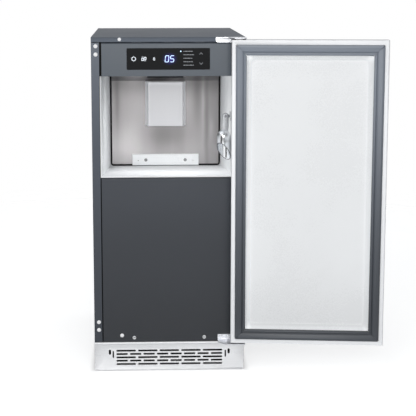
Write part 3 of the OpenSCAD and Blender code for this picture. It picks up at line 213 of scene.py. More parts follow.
# Shade on what stands deep in the bin: gain = 1 + strength between two depths along y.
def makeDepthGroup():
    group, take, give = newGroup("depthShade", [
        ("Front", "Float", 0.0), ("Back", "Float", 0.2), ("Strength", "Float", -0.7)])
    depth = addNode(group, "SeparateXYZ", [(0, take["Vector"])]).outputs["Y"]
    between = addMath(group, "MULTIPLY", addMath(group, "GREATER_THAN", depth, take["Front"]),
                      addMath(group, "LESS_THAN", depth, take["Back"]))
    giveColour(group, take, give, addGain(group, between, take["Strength"]))
    return group


# A painted glow, the digits' light spread in the black window, that falls off round a centre:
# strength = max(0, 1 - distance / reach) squared.
def makeHaloGroup():
    group, take, give = newGroup("digitHalo", [
        ("Centre", "Vector", (0, 0, 0)), ("Squash", "Vector", (1, 0, 1.2)),
        ("Reach", "Float", 0.02)])
    flat = addVector(group, "MULTIPLY", addVector(group, "SUBTRACT", take["Vector"],
                                                  take["Centre"]), take["Squash"])
    share = addMath(group, "DIVIDE", addVector(group, "LENGTH", flat), take["Reach"])
    left = addMath(group, "MAXIMUM", addMath(group, "SUBTRACT", 1.0, share), 0.0)
    giveColour(group, take, give, addMath(group, "POWER", left, 2.0))
    return group


# A painted patch of light or shade: gain = 1 + strength * e to the power of minus the squared
# length of offset / reach, its middle line wandering a little with height, as reflections do on
# thin sheet.
def makePaintedLightGroup():
    group, take, give = newGroup("paintedLightPatch", [
        ("Centre", "Vector", (0, 0, 0)), ("Reach", "Vector", (0.01, 1000, 0.1)),
        ("Strength", "Float", -0.2), ("Wander", "Float", 0.006)])
    upright = addVector(group, "MULTIPLY", take["Vector"], (0, 0, 1))
    wave = addMath(group, "SUBTRACT", addNoise(group, upright, 16.0, 1.0), 0.5)
    sway = addMath(group, "MULTIPLY", wave, take["Wander"])
    aside = addNode(group, "CombineXYZ", [(0, sway)]).outputs[0]
    offset = addVector(group, "SUBTRACT", addVector(group, "ADD", take["Vector"], aside),
                       take["Centre"])
    share = addVector(group, "DIVIDE", offset, take["Reach"])
    square = addVector(group, "DOT_PRODUCT", share, share)
    fall = addMath(group, "POWER", math.e, addMath(group, "MULTIPLY", square, -1.0))
    giveColour(group, take, give, addGain(group, fall, take["Strength"]))
    return group


haloGroup, depthGroup, paintedLightGroup = makeHaloGroup(), makeDepthGroup(), makePaintedLightGroup()
grainGroup, dustGroup, spangleGroup = makeGrainGroup(), makeDustGroup(), makeSpangleGroup()

# a painted light patch's usual wander, and its middle and reach in depth, all in metres
paintedLightUsual = {"wander": 0.006, "depth": (0, 1000)}


# One material: grain or zinc spangle, then settled dust, painted shade in the depth and each
# painted light or shade patch, each handing its colour on, into a Principled shader.
def makeFinish(name, spec):
    material, tree, shader = newMaterial(name)
    place = addNode(tree, "TexCoord").outputs["Object"]
    colour = linear(spec["colour"])

    def layer(group, under, values):
        return addNode(tree, "Group", [("Vector", place), ("Colour", under), *values],
                       node_tree=group).outputs

    if spec.get("spangle"):
        given = layer(spangleGroup, colour, [("Spread", spec["spangle"])])
    else:
        given = layer(grainGroup, colour, [(grainInputs[key][0], value)
                                           for key, value in spec.items() if key in grainInputs])
        tree.links.new(given["Normal"], shader.inputs["Normal"])
    tree.links.new(given["Roughness"], shader.inputs["Roughness"])
    if spec.get("dust"):
        given = layer(dustGroup, given["Colour"], [("Amount", spec["dust"])])
    if spec.get("deep"):
        given = layer(depthGroup, given["Colour"], [("Strength", spec["deep"])])
    # each patch paints light or shade into the colour
    for x, z, reachX, reachZ, strength, *deep in spec.get("patches", ()):
        y, reachY = deep or paintedLightUsual["depth"]
        given = layer(paintedLightGroup, given["Colour"], [
            ("Centre", (x, y, z)), ("Reach", (reachX, reachY, reachZ)), ("Strength", strength),
            ("Wander", spec.get("wander", paintedLightUsual["wander"]))])
    tree.links.new(given["Colour"], shader.inputs["Base Color"])
    for key, label in shaderInputs.items():
        if key in spec:
            shader.inputs[label].default_value = spec[key]
    if spec.get("glow"):
        shader.inputs["Emission Color"].default_value = colour
        shader.inputs["Emission Strength"].default_value = spec["glow"]
    halo = spec.get("halo")
    if halo:
        given = layer(haloGroup, linear(halo["colour"]),
                      [("Centre", halo["centre"]), ("Reach", halo["reach"])])
        tree.links.new(given["Colour"], shader.inputs["Emission Color"])
        shader.inputs["Emission Strength"].default_value = 1.0
    material.diffuse_color = colour
    return material


# A finish: its colour, a base that it starts from and what it changes.
def look(colour, base=(), **changes):
    return dict(base, colour=colour, **changes)


paint = {"rough": 0.37, "scale": 1500, "spread": 0.05, "height": 4e-5, "dust": 0.12}
brushed = {"metallic": 1, "stretch": (1, 1, 0.012), "spread": 0.08, "roughSpread": 0.16,
           "height": 1.2e-5}
polished = {"metallic": 1, "rough": 0.1, "stretch": (1, 1, 0.08), "scale": 700, "spread": 0.04,
            "roughSpread": 0.08, "height": 6e-6}
moulded = {"scale": 320, "spread": 0.02, "height": 1e-5, "wander": 0}

# each painted light or shade patch: (x, z, reach in x, reach in z, strength), then y and its reach
# where depth counts; on bin_steel they paint the reflections of the thin sheet's faint waves
finishes = {
    # the lower front panel: painted light near its top and painted shade towards the floor
    "panel_grey": look((38, 43, 51), paint, wander=0, patches=[
        (0, 0.47, 5, 0.09, 0.35), (0, 0.08, 5, 0.16, -0.35)]),
    "side_grey": look((46, 51, 59), paint),
    # the side panels' front flanges: the sides' paint with painted light that grows towards the
    # top
    "flange_grey_painted_light": look((43, 49, 58), paint, wander=0, patches=[(0, 0.84, 5, 0.39, 1.6)]),
    # the top panel: the cabinet's grey paint made lighter, as painted light on the face that looks
    # up, with a painted highlight along the front skirt
    "top_grey_painted_light": look((80, 87, 97), paint, rough=0.6, specular=0.3, dust=0.05,
                     patches=[(0, 0.835, 1, 0.008, 0.32)]),
    # the fascia: the cabinet's grey paint made lighter, as painted light high on the front
    "fascia_grey": look((61, 71, 82), paint),
    "galvanised": look((176, 179, 183), metallic=0.9, spangle=0.35, dust=0.2),
    # brushed steel, with a painted highlight along the kick plate's top edge
    "brushed_steel": look(
        (232, 233, 235), brushed, rough=0.32, stretch=(0.012, 1, 1), spread=0.1, bandScale=30,
        bands=0.06, patches=[(0, 0.073, 5, 0.004, 0.2)]),
    "upright_steel": look((162, 164, 168), brushed, rough=0.38, bandScale=14, bands=0.05),
    # the bin's back sheet: its strong broad bands and its light and dark streaks are painted
    # reflections of the wavy sheet; painted light on its lower part and in spots near the top;
    # painted shade under the chute cover and along the top
    "bin_steel": look(
        (138, 136, 137), brushed, metallic=0.75, rough=0.34, stretch=(1, 1, 0.02),
        roughSpread=0.2, bandScale=18, bands=0.5, patches=[
            (-0.135, 0.66, 0.007, 0.1, -0.3), (-0.098, 0.62, 0.03, 0.2, 0.1),
            (0, 0.49, 5, 0.08, 0.25), (-0.12, 0.52, 0.05, 0.07, 0.45),
            (0.09, 0.68, 0.013, 0.09, -0.35), (0.106, 0.66, 0.004, 0.1, 0.25),
            (0.117, 0.6, 0.006, 0.2, -0.3), (0.13, 0.57, 0.007, 0.03, 0.25),
            (0, 0.55, 0.06, 0.042, -0.42), (0, 0.705, 0.4, 0.036, -0.4),
            (-0.09, 0.73, 0.03, 0.03, 0.7), (0.028, 0.7085, 0.024, 0.005, 1.2)]),
    "bright_steel": look((226, 228, 231), polished),
    # the scoop: dark painted reflections on the bowl, and painted shade where the grip meets the
    # bowl
    "scoop_steel": look((242, 244, 247), polished, rough=0.15, patches=[
        (0.1285, 0.596, 0.0035, 0.011, -0.8), (0.134, 0.605, 0.005, 0.004, -0.6),
        (0.1405, 0.583, 0.0025, 0.006, -0.7), (0.1495, 0.594, 0.004, 0.005, -0.6),
        (0.148, 0.577, 0.009, 0.004, -0.4), (0.1555, 0.64, 0.003, 0.022, -0.5)]),
    # the hinges: painted shade as a dark line between the top hinge's plate and leaf, and a dark
    # mark at its end
    "hinge_steel": look(
        (204, 206, 211), metallic=0.8, rough=0.36, scale=700, height=1e-5, wander=0, patches=[
            (0.15, 0.843, 0.028, 0.0008, -0.8), (0.1265, 0.8375, 0.0012, 0.003, -0.4)]),
    # the door's rim: painted shade that darkens it towards the top
    "lip_steel": look(
        (231, 233, 236), metallic=0.4, rough=0.5, stretch=(1, 1, 0.012), spread=0.05,
        height=1e-5, bands=0.02, patches=[(0.3, 0.86, 5, 0.16, -0.2)]),
    "slot_shade": look((34, 35, 37), metallic=0.2, rough=0.6, scale=700, height=6e-6),
    # the scoop's own steel painted dark on its rolled rim and the grip's edges, a painted dark
    # reflection outlining them
    "rim_painted_dark_reflection": look((96, 98, 103), metallic=1, rough=0.3, scale=700, height=6e-6),
    # white plastic, with painted light and shade on the door's inner panel: darker towards its
    # bottom and top, lighter on its recess walls, its top and bottom strips and two soft spots
    "white_plastic": look((236, 238, 240), moulded, rough=0.28, dust=0.03, patches=[
        (0.36, 0.13, 1, 0.12, -0.1), (0.1975, 0.46, 0.005, 1, 0.3),
        (0.485, 0.46, 0.0065, 1, 0.09), (0.36, 0.76, 1, 0.12, -0.04),
        (0.36, 0.798, 1, 0.007, 0.22), (0.36, 0.1245, 1, 0.004, 0.18),
        (0.45, 0.2, 0.07, 0.2, 0.035), (0.2, 0.25, 0.045, 0.3, 0.04)]),
    # the bin liner: painted shade on its side walls, towards the top and back on the left and the
    # top front on the right
    "liner_white": look(
        (236, 238, 240), moulded, rough=0.45, roughSpread=0, spread=0.01, height=0, patches=[
            (-0.167, 0.76, 0.03, 0.1, -0.37), (0.167, 0.72, 0.03, 0.1, -0.08),
            (-0.167, 0.6, 0.03, 0.5, -0.22, 0.15, 0.15),
            (0.167, 0.68, 0.03, 0.14, -0.47, -0.27, 0.18)]),
    "matte_white": look(
        (242, 243, 245), rough=0.42, scale=700, spread=0.02, height=4e-6, dust=0.04),
    # the chute cover: white plastic greyed as painted shade, with painted light on its sloped
    # sides, top edge and bottom, and painted shade along the lines between face and sides
    "cover_painted_light_and_shade": look((194, 194, 197), moulded, rough=0.36, bandScale=9, bands=0.03, patches=[
        (-0.054, 0.6, 0.006, 0.5, 1.1), (0.054, 0.6, 0.006, 0.5, 0.8),
        (-0.0468, 0.6, 0.0007, 0.5, -0.2), (0.0468, 0.6, 0.0007, 0.5, -0.3),
        (0, 0.699, 0.2, 0.0045, 0.2), (0, 0.571, 0.2, 0.002, 0.1), (0, 0.57, 0.2, 0.07, 0.12)]),
    # the black window, with a painted glow round the digits standing in for their light in the
    # glass
    "black_gloss": look(
        (20, 21, 23), rough=0.08, scale=300, spread=0.2, roughSpread=0.05, height=2e-6,
        specular=0.16, halo={"centre": (0.0035, 0, 0.7929), "reach": 0.022,
                             "colour": (74, 68, 170)}),
    "black_plastic": look(
        (30, 30, 32), rough=0.48, scale=1200, spread=0.1, height=6e-5, dust=0.15),
    # the gasket: painted light, strongly lighter towards its top and a little along its bottom,
    # and painted shade down its side away from the hinge
    "seal_rubber": look(
        (61, 65, 71), rough=0.46, scale=1000, spread=0.08, height=4e-5, dust=0.05, wander=0,
        patches=[(0.36, 0.82, 5, 0.36, 3.6), (0.36, 0.098, 1, 0.025, 0.26),
                 (0.524, 0.46, 0.014, 1, -0.32)]),
    "black_rubber": look((26, 26, 28), rough=0.62, scale=1100, spread=0.12, height=7e-5, dust=0.2),
    # the black of the bin's seal; on the side panels' folds in the gap beside the fascia it is
    # painted shade
    "seal_black_and_gap_shade": look((9, 9, 10), rough=0.6, scale=1100, spread=0.1, height=4e-5, specular=0.15),
    # the screws: painted shade on those deep in the bin, and a dark painted line across the two
    # front screws where their slots are
    "bright_zinc": look(
        (236, 238, 241), metallic=0.35, rough=0.42, scale=500, height=1e-5, wander=0, deep=-0.7,
        patches=[(x, 0.0857, 0.0042, 0.0013, -0.92) for x in (-0.089, 0.089)]),
    "foam": look((224, 206, 150), rough=0.85, scale=500, spread=0.14, height=4e-4),
    "copper_tube": look(
        (206, 128, 92), metallic=1, rough=0.3, scale=180, spread=0.22, roughSpread=0.25),
    "shell_black": look((28, 29, 31), rough=0.24, scale=400, spread=0.1, height=5e-5, dust=0.25),
    "gear_grey": look((92, 96, 101), rough=0.55, scale=260, spread=0.12, height=2.5e-4, dust=0.2),
    "clear_plastic": look((214, 226, 234), rough=0.22, scale=300, spread=0.03, clear=0.55),
    "board_green": look((28, 92, 52), rough=0.35, scale=240, spread=0.25, height=8e-5),
    "magnet": look((58, 54, 50), rough=0.7, scale=800, height=5e-5),
    "float_orange": look((222, 128, 52), scale=600, height=3e-5),
    "lamp_white": look((226, 232, 240), scale=300, glow=0.3),
    "digit_blue": look((196, 222, 255), scale=300, glow=1.1),
    # the printed words and chevrons, given a faint painted glow
    "print_grey": look((138, 142, 148), scale=300, glow=0.1),
}
materials = {name: makeFinish(name, spec) for name, spec in finishes.items()}


def wear(mesh, finish):
    mesh.materials.clear()
    mesh.materials.append(materials[finish])


# every node shows the finish of its slot, apart from the ones named here
nodeSlot = {sub["node"]: sub["material_slot"] for sub in frame["record"]["subparts"]}
nodeFinish = dict(nodeSlot, door_skin="upright_steel", bin_back_sheet="bin_steel",
                  left_side_panel="side_grey", right_side_panel="side_grey",
                  top_panel="top_grey_painted_light", bin_seal_trim="seal_black_and_gap_shade", panel_screws="bright_zinc",
                  hinge_screws="bright_zinc", ice_chute_cover="cover_painted_light_and_shade",
                  top_hinge_bracket="hinge_steel", bottom_hinge_bracket="hinge_steel",
                  base_pan="shell_black", condenser="shell_black", bin_liner="liner_white")
for nodeName, finish in nodeFinish.items():
    wear(cadNodes[nodeName].data, finish)
print("materials made:", len(materials))


# point and mesh helpers
# Evenly spaced angles once round, in radians.
def fullTurn(steps):
    return np.radians(np.arange(steps) * 360.0 / steps)


# The flat unit vectors (cos a, sin a).
def direction(angles):
    return np.stack([np.cos(angles), np.sin(angles)], -1)


def unit(vectors):
    return vectors / np.linalg.norm(vectors, axis=-1, keepdims=True)


# Turned about the origin: x cos a - y sin a, x sin a + y cos a.
def turned(x, y, degrees):
    a = math.radians(degrees)
    return x * math.cos(a) - y * math.sin(a), x * math.sin(a) + y * math.cos(a)


# A flat outline of (x, z) points stood up at a depth y, as an (n, 3) array.
def atDepth(flat, y):
    return np.stack([flat[:, 0], np.full(len(flat), y), flat[:, 1]], 1)


# Quads between neighbouring rows and columns of a point grid, as lists of four.
def gridFaces(rows, cols, wrapRows=False, wrapCols=False):
    index = np.arange(rows * cols).reshape(rows, cols)
    down = np.roll(index, -1, 0) if wrapRows else index[1:]
    here = index if wrapRows else index[:-1]
    faces = np.stack([here, np.roll(here, -1, 1), np.roll(down, -1, 1), down], -1)
    if not wrapCols:
        faces = faces[:, :-1]
    return faces.reshape(-1, 4).tolist()


# A closed section carried along rows of points, with a cap at each end.
def cappedTube(points):
    rows, cols = points.shape[:2]
    caps = [list(range(start, start + cols)) for start in (0, (rows - 1) * cols)]
    return points, gridFaces(rows, cols, wrapCols=True) + caps


# Several (points, faces) pairs as one pair, with the face indices moved along.
def joinGrids(grids):
    points, faces, start = [], [], 0
    for part, quads in grids:
        points.append(np.reshape(part, (-1, 3)))
        faces += [[i + start for i in quad] for quad in quads]
        start += len(points[-1])
    return np.concatenate(points), faces


# Turns a profile of (radius, height) about an axis: x = r cos a, y = r sin a, z = height.
def lathe(profile, centre, steps, axis="z"):
    profile, angle = np.asarray(profile, float), fullTurn(steps)
    r, h = profile[:, :1], np.repeat(profile[:, 1:], steps, 1)
    ring = np.stack([r * np.cos(angle), r * np.sin(angle), h], -1)
    if axis == "y":
        ring = np.stack([ring[..., 0], ring[..., 2], -ring[..., 1]], -1)
    return ring + np.asarray(centre, float), gridFaces(len(profile), steps, wrapCols=True)


def shadeSmooth(mesh, angle):
    mesh.polygons.foreach_set("use_smooth", np.ones(len(mesh.polygons), bool))
    mesh.set_sharp_from_angle(angle=math.radians(angle))
    mesh.update()


# Runs edit on a mesh with its doubles merged; distances in metres.
def editMesh(mesh, merge, edit):
    work = bmesh.new()
    work.from_mesh(mesh)
    bmesh.ops.remove_doubles(work, verts=work.verts, dist=merge)
    edit(work)
    work.to_mesh(mesh)
    work.free()


def addPiece(name, mesh, body, finish, replaced=()):
    piece = linkObject(name, mesh)
    wear(mesh, finish)
    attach(piece, body)
    if replaced:
        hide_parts(*replaced)
    return piece


# A piece from a (points, faces) pair in millimetres, its doubles merged, smooth below an angle.
def addShape(name, grid, body, finish, replaced=(), smooth=35.0, closed=True):
    mesh = bpy.data.meshes.new(name)
    mesh.from_pydata((np.reshape(grid[0], (-1, 3)) * 0.001).tolist(), [], grid[1])
    editMesh(mesh, 1e-6, lambda work: closed and bmesh.ops.recalc_face_normals(
        work, faces=work.faces))
    shadeSmooth(mesh, smooth)
    return addPiece(name, mesh, body, finish, replaced)


# Gives a sheet its wall, inwards from the face that shows.
def addWall(piece, thickness):
    wall = piece.modifiers.new("wall", "SOLIDIFY")
    wall.thickness, wall.offset = thickness * 0.001, -1.0


# edges: doubles merge in metres; degrees up to which faces count as one, from which an edge is
# broken and below which shading is smooth; millimetres above which a break has three segments
edgeBreak = {"merge": 2e-6, "flat": 1, "sharp": 28, "smooth": 40, "wide": 1}


# A merged copy of a CAD node with its edges rounded by width, standing for the node.
def softened(nodeName, width, body="cabinet"):
    mesh = cadNodes[nodeName].data.copy()
    mesh.name = nodeName + "_soft"
    editMesh(mesh, edgeBreak["merge"], lambda work: bmesh.ops.dissolve_limit(
        work, angle_limit=math.radians(edgeBreak["flat"]), verts=work.verts, edges=work.edges,
        delimit={"NORMAL"}))
    piece = addPiece(nodeName + "_soft", mesh, body, nodeFinish[nodeName],
                     (nodeName,))
    bevel = piece.modifiers.new("edges", "BEVEL")
    bevel.width, bevel.segments = width * 0.001, 3 if width > edgeBreak["wide"] else 2
    bevel.limit_method, bevel.angle_limit = "ANGLE", math.radians(edgeBreak["sharp"])
    bevel.miter_outer = "MITER_ARC"
    shadeSmooth(mesh, edgeBreak["smooth"])
    return piece


# sheet metal and moulded pieces with the width of their broken edges
softEdges = {
    "top_panel": 0.6, "left_side_panel": 0.6, "right_side_panel": 0.6, "control_fascia": 0.6,
    "lower_front_panel": 0.6, "kick_plate": 0.15, "ice_chute_cover": 0.9, "drain_cover": 0.8,
    "bin_liner": 1.2, "top_hinge_bracket": 0.5, "bottom_hinge_bracket": 0.5, "scoop_hook": 0.5,
}
edged = {nodeName: softened(nodeName, width) for nodeName, width in softEdges.items()}
print("edges broken on", len(softEdges), "pieces")


# Gives some faces of a piece one more finish: choose takes the faces' normals and their middles
# in metres, both as (3, n) arrays, and returns a mask.
def refinish(piece, finish, choose):
    mesh, faces = piece.data, piece.data.polygons
    mesh.materials.append(materials[finish])
    normals, middles = (np.array([getattr(face, key) for face in faces]).T
                        for key in ("normal", "center"))
    for index in np.flatnonzero(choose(normals, middles)):
        faces[index].material_index = len(mesh.materials) - 1
    mesh.update()


# the side panels' front flanges, in painted light; the folds inside the dark gap beside the
# fascia, given black as painted shade; the cut walls of the grille's slots, in painted shade;
# places in metres, facing is a share of the face's normal
fold = {"width": 0.1716, "front": -0.2785, "back": -0.2697, "facing": 0.7}
grille = {"low": 0.012, "high": 0.064, "half": 0.18, "facing": 0.5}
for nodeName in ("left_side_panel", "right_side_panel"):
    refinish(edged[nodeName], "flange_grey_painted_light",
             lambda n, m: (n[1] < -fold["facing"]) & (m[1] < 0))
    # the folds in the gap beside the fascia: black as painted shade
    refinish(edged[nodeName], "seal_black_and_gap_shade",
             lambda n, m: (np.abs(m[0]) < fold["width"]) & (m[1] > fold["front"])
             & (m[1] < fold["back"]))
refinish(edged["kick_plate"], "slot_shade",
         lambda n, m: (np.abs(n[1]) < grille["facing"]) & (np.abs(m[0]) < grille["half"])
         & (m[2] > grille["low"]) & (m[2] < grille["high"]))

# door: closed measures, swung open about the hinge as the CAD is at rest
door = {"halfWidth": 190, "inner": -289, "low": 84.5, "high": 841,
        "pivot": (172, -311), "angle": 174, "edge": 0.5, "lipFacing": 0.7}
doorMid = (door["low"] + door["high"]) / 2
doorHalf = (door["high"] - door["low"]) / 2


# A closed door's (points, faces) pair turned about the hinge: pivot plus the turned offset.
def swing(grid):
    out = np.array(grid[0], float)
    px, py = door["pivot"]
    x, y = turned(out[..., 0] - px, out[..., 1] - py, door["angle"])
    out[..., 0], out[..., 1] = px + x, py + y
    return out, grid[1]


# The skin's lip behind the gasket is satin, as on its turned-in edges; its faces are the ones
# that look the way the inner panel does.
def makeDoorSkin():
    inward = np.array([*turned(0.0, 1.0, door["angle"]), 0.0])
    refinish(softened("door_skin", door["edge"], body="door"), "lip_steel",
             lambda n, m: inward @ n > door["lipFacing"])


makeDoorSkin()

gasket = {"inset": 11, "width": 26, "edge": 0.3, "broad": 0.68, "groove": 1.2,
          "broadBead": (5.4, 8.5, 0.26, 15), "narrowBead": (4.8, 7.3, 0.35, 9), "gap": 0.08,
          "seam": 1.3, "pinch": 2.2 / 6, "shoulder": 6.7, "shoulderRise": 0.27}


# Across and height: a broad rounded bead, a groove, then a narrow bead, each from its foot, top,
# power and count of points: height = foot + (top - foot) sin ** power. The broad bead's outer
# shoulder is lower, to clear the heads of the plugs when the door is closed.
def gasketProfile(g):
    def bead(start, end, foot, top, power, count):
        t = np.linspace(0, 1, count)
        return np.stack([start + (end - start) * t,
                         foot + (top - foot) * np.sin(np.pi * t) ** power], 1)

    broad = g["width"] * g["broad"]
    first = bead(g["edge"], broad, *g["broadBead"])
    first[:, 1] = np.minimum(first[:, 1], g["shoulder"] + g["shoulderRise"] * first[:, 0])
    second = bead(broad + g["groove"], g["width"] - g["edge"], *g["narrowBead"])
    return np.concatenate([[[0.0, 0.0]], first, second, [[g["width"], 0.0]]])


# The profile carried along each side of the frame, its ends mitred and eased into a seam.
def makeGasket(g):
    profile = gasketProfile(g)
    pinched = profile + (profile.mean(0) - profile) * g["pinch"]
    stations = [(-1, g["gap"], pinched), (-1, g["seam"], profile),
                (1, g["seam"], profile), (1, g["gap"], pinched)]
    halves = (door["halfWidth"] - g["inset"], doorHalf - g["inset"])
    grids = []
    for side in range(4):
        along, across = halves[side % 2], halves[1 - side % 2]
        rows = [[end * (along - section[:, 0] - back), across - section[:, 0], section[:, 1]]
                for end, back, section in stations]
        x, z, up = np.moveaxis(np.array(rows), 1, 0)
        x, z = turned(x, z, 90 * side)
        grids.append(swing(cappedTube(np.stack([x, door["inner"] + up, doorMid + z], -1))))
    addShape("door_gasket_bellows", joinGrids(grids), "door", "seal_rubber",
             ("door_gasket",), smooth=50.0)


makeGasket(gasket)

# the inner panel's floor starts a share of its round further in, and dips a little to its middle
innerPanel = {"lip": 12, "rim": 38, "recess": 15, "draft": 10, "rimRound": 3.5,
              "rimStart": 0.15, "floorRound": 6, "floorShare": 0.55, "floorReach": 40,
              "floorDip": 0.15, "cornerLip": 4, "cornerTop": 15, "cornerFloor": 11,
              "cornerEnd": 8, "cornerSteps": 8, "wall": 2}


# Points round a rectangle whose corners are quarter circles, in order, as (n, 2).
def roundedRing(halfX, halfZ, radius, steps):
    points = []
    for corner, (sx, sz) in enumerate([(1, 1), (-1, 1), (-1, -1), (1, -1)]):
        centre = np.array([sx * (halfX - radius), sz * (halfZ - radius)])
        angles = np.radians(90 * corner + np.linspace(0, 90, steps + 1))
        points.append(centre + radius * direction(angles))
    return np.concatenate(points)


# Rounded rings carried from the lip, over the rim's round, down the drafted wall, to the floor.
def makeInnerPanel(p):
    bend = math.pi / 2 - math.atan2(p["draft"], p["recess"])
    rimIn = p["rim"] - p["rimRound"]
    floorIn = p["rim"] + p["draft"] + p["floorRound"] * p["floorShare"]
    rows = [(p["lip"], 0.0, p["cornerLip"]), (rimIn, 0.0, p["cornerTop"])]
    for a in np.linspace(p["rimStart"], 1, 6) * bend:
        rows.append((rimIn + p["rimRound"] * math.sin(a), p["rimRound"] * (1 - math.cos(a)),
                     p["cornerTop"]))
    for a in np.linspace(1, 0, 8) * bend:
        rows.append((floorIn - p["floorRound"] * math.sin(a),
                     p["recess"] - p["floorRound"] * (1 - math.cos(a)), p["cornerFloor"]))
    rows.append((floorIn + p["floorReach"], p["recess"] + p["floorDip"], p["cornerEnd"]))
    rings = np.array([atDepth(roundedRing(door["halfWidth"] - inset, doorHalf - inset, corner,
                                          p["cornerSteps"]) + [0, doorMid], door["inner"] - depth)
                      for inset, depth, corner in rows])
    count, cols = rings.shape[:2]
    faces = [quad[::-1] for quad in gridFaces(count, cols, wrapCols=True)]
    faces.append(list(range((count - 1) * cols, count * cols)))
    panel = addShape("door_inner_panel", swing((rings, faces)), "door", "white_plastic",
                     ("door_liner",), smooth=60.0, closed=False)
    addWall(panel, p["wall"])


makeInnerPanel(innerPanel)

# ends: in from the bar's radius and along from its end; post: radius and way from the bar's middle
handle = {"x": -150, "y": -374, "mid": 522.75, "length": 460, "radius": 8, "postIn": 40,
          "ends": [(8, 0), (2.2, 0), (0.6, 0.7), (0, 2.4), (0, 9), (0.5, 9.4), (0.5, 10.2),
                   (0, 10.6)],
          "post": [(0, 2), (6, 2), (6, 35), (6.8, 35.8), (8.5, 36.8), (8.5, 40), (0, 40)]}


def makeHandle(h):
    half = h["length"] / 2
    ends = [(h["radius"] - less, along - half) for less, along in h["ends"]]
    bar = ends + [(radius, -z) for radius, z in reversed(ends)]
    addShape("handle_bar_turned", swing(lathe(bar, (h["x"], h["y"], h["mid"]), steps=40)), "door",
             "upright_steel", ("handle_bar",), smooth=40.0)
    posts = [swing(lathe(h["post"], (h["x"], h["y"], h["mid"] + along), steps=32, axis="y"))
             for along in (h["postIn"] - half, half - h["postIn"])]
    addShape("handle_posts_turned", joinGrids(posts), "door", "bright_steel",
             ("handle_posts",), smooth=40.0)


makeHandle(handle)
print("door dressed")

# scoop: a deep bowl with a slanted mouth and a flat grip with a hanging hole
scoop = {"x": 148.2, "y": -180, "top": 648.3, "axisX": -4.5, "axisY": 2, "bowlRadius": 18,
         "bowlLength": 80, "shoulder": 20, "wall": 1.2, "turn": 50, "mouthRise": 46,
         "rim": 0.95, "rimIn": 0.57, "grip": 42, "gripWidth": 15, "gripThick": 4,
         "gripSink": 8, "gripEase": 0.7, "holeDown": 9, "holeRadius": 2.6, "holeEase": 0.5,
         "flatFacing": 0.9, "steps": 56, "wallRows": 22, "domeRows": 14, "rimSteps": 10,
         "gripSteps": 48}


# The bowl's radius is the bowl radius up to the shoulder, then an arc to the axis. Each angle's
# lowest height is the mouth plane: (r - r cos(a - turn)) * rise / 2r.
def makeBowl(s):
    steps, wide, shoulder = s["steps"], s["bowlRadius"], s["shoulder"]
    centre = [s["x"] + s["axisX"], s["y"] + s["axisY"], s["top"] - s["grip"] - s["bowlLength"]]
    angle = fullTurn(steps)
    mouth = (wide - wide * np.cos(angle - math.radians(s["turn"]))) * s["mouthRise"] / (2 * wide)
    straight = s["bowlLength"] - shoulder
    t = np.linspace(0, 1, s["wallRows"])[:, None]
    a = np.linspace(0, math.acos((shoulder - wide) / shoulder), s["domeRows"] + 1)[1:, None]
    radii = np.concatenate([np.full_like(t, wide),
                            np.maximum(wide - shoulder + shoulder * np.cos(a), 0)])
    heights = np.concatenate([mouth + (straight - mouth) * t,
                              np.repeat(straight + shoulder * np.sin(a), steps, 1)])
    rings = np.stack([radii * np.cos(angle), radii * np.sin(angle), heights], -1) + centre
    bowl = addShape("scoop_bowl", (rings, gridFaces(len(rings), steps, wrapCols=True)), "scoop",
                    "scoop_steel", ("scoop",), smooth=70.0, closed=False)
    addWall(bowl, s["wall"])
    # rolled rim: a circle carried round the mouth's edge, in the painted dark reflection
    edge = rings[0]
    ahead = unit(np.roll(edge, -1, 0) - np.roll(edge, 1, 0))
    outward = np.stack([np.cos(angle), np.sin(angle), np.zeros(steps)], 1)
    b = fullTurn(s["rimSteps"])[:, None, None]
    tube = edge - s["rimIn"] * outward + s["rim"] * (
        np.cos(b) * outward + np.sin(b) * np.cross(ahead, outward))
    faces = gridFaces(s["rimSteps"], steps, wrapRows=True, wrapCols=True)
    addShape("scoop_rim", (tube, faces), "scoop", "rim_painted_dark_reflection")


# A round-ended bar, its outline carried from the hole's edge out and back.
def makeGrip(s):
    wide, half, tiny = s["gripWidth"] / 2, s["gripThick"] / 2, 1e-6
    eye = np.array([s["x"], s["top"] - s["holeDown"]])
    below = s["grip"] + s["gripSink"] - s["holeDown"]
    way = direction(fullTurn(s["gripSteps"]))
    hole = eye + s["holeRadius"] * way
    reach = np.minimum(wide / np.maximum(np.abs(way[:, 0]), tiny),
                       below / np.maximum(-way[:, 1], tiny))
    outer = eye + np.where(way[:, 1] > -tiny, wide, reach)[:, None] * way
    outer[:, 1] += np.where(way[:, 1] >= 0, s["holeDown"] - wide, 0)
    inward = unit(hole - outer)
    front = [(hole, 0.0, half - s["holeEase"]), (hole, -s["holeEase"], half),
             (outer, s["gripEase"], half), (outer, 0.0, half - s["gripEase"])]
    back = [(ring, shift, -y) for ring, shift, y in reversed(front)]
    rows = np.array([atDepth(ring + inward * shift, s["y"] + y)
                     for ring, shift, y in front + back])
    faces = gridFaces(len(rows), s["gripSteps"], wrapRows=True, wrapCols=True)
    grip = addShape("scoop_grip", (rows, faces), "scoop", "scoop_steel",
                    smooth=40.0)
    # the grip's edges take the painted dark reflection
    refinish(grip, "rim_painted_dark_reflection", lambda n, m: np.abs(n[1]) < s["flatFacing"])


makeBowl(scoop)
makeGrip(scoop)
print("scoop made")

# bin seal: a rounded bead over the strip that closes the back sheet to the liner
binSeal = {"width": 4.6, "proud": 1.3, "lift": 0.1, "sink": 0.3, "corner": 8.3, "crease": 704.4,
           "lean": 10 / 17, "leanTop": 717, "behind": 2}


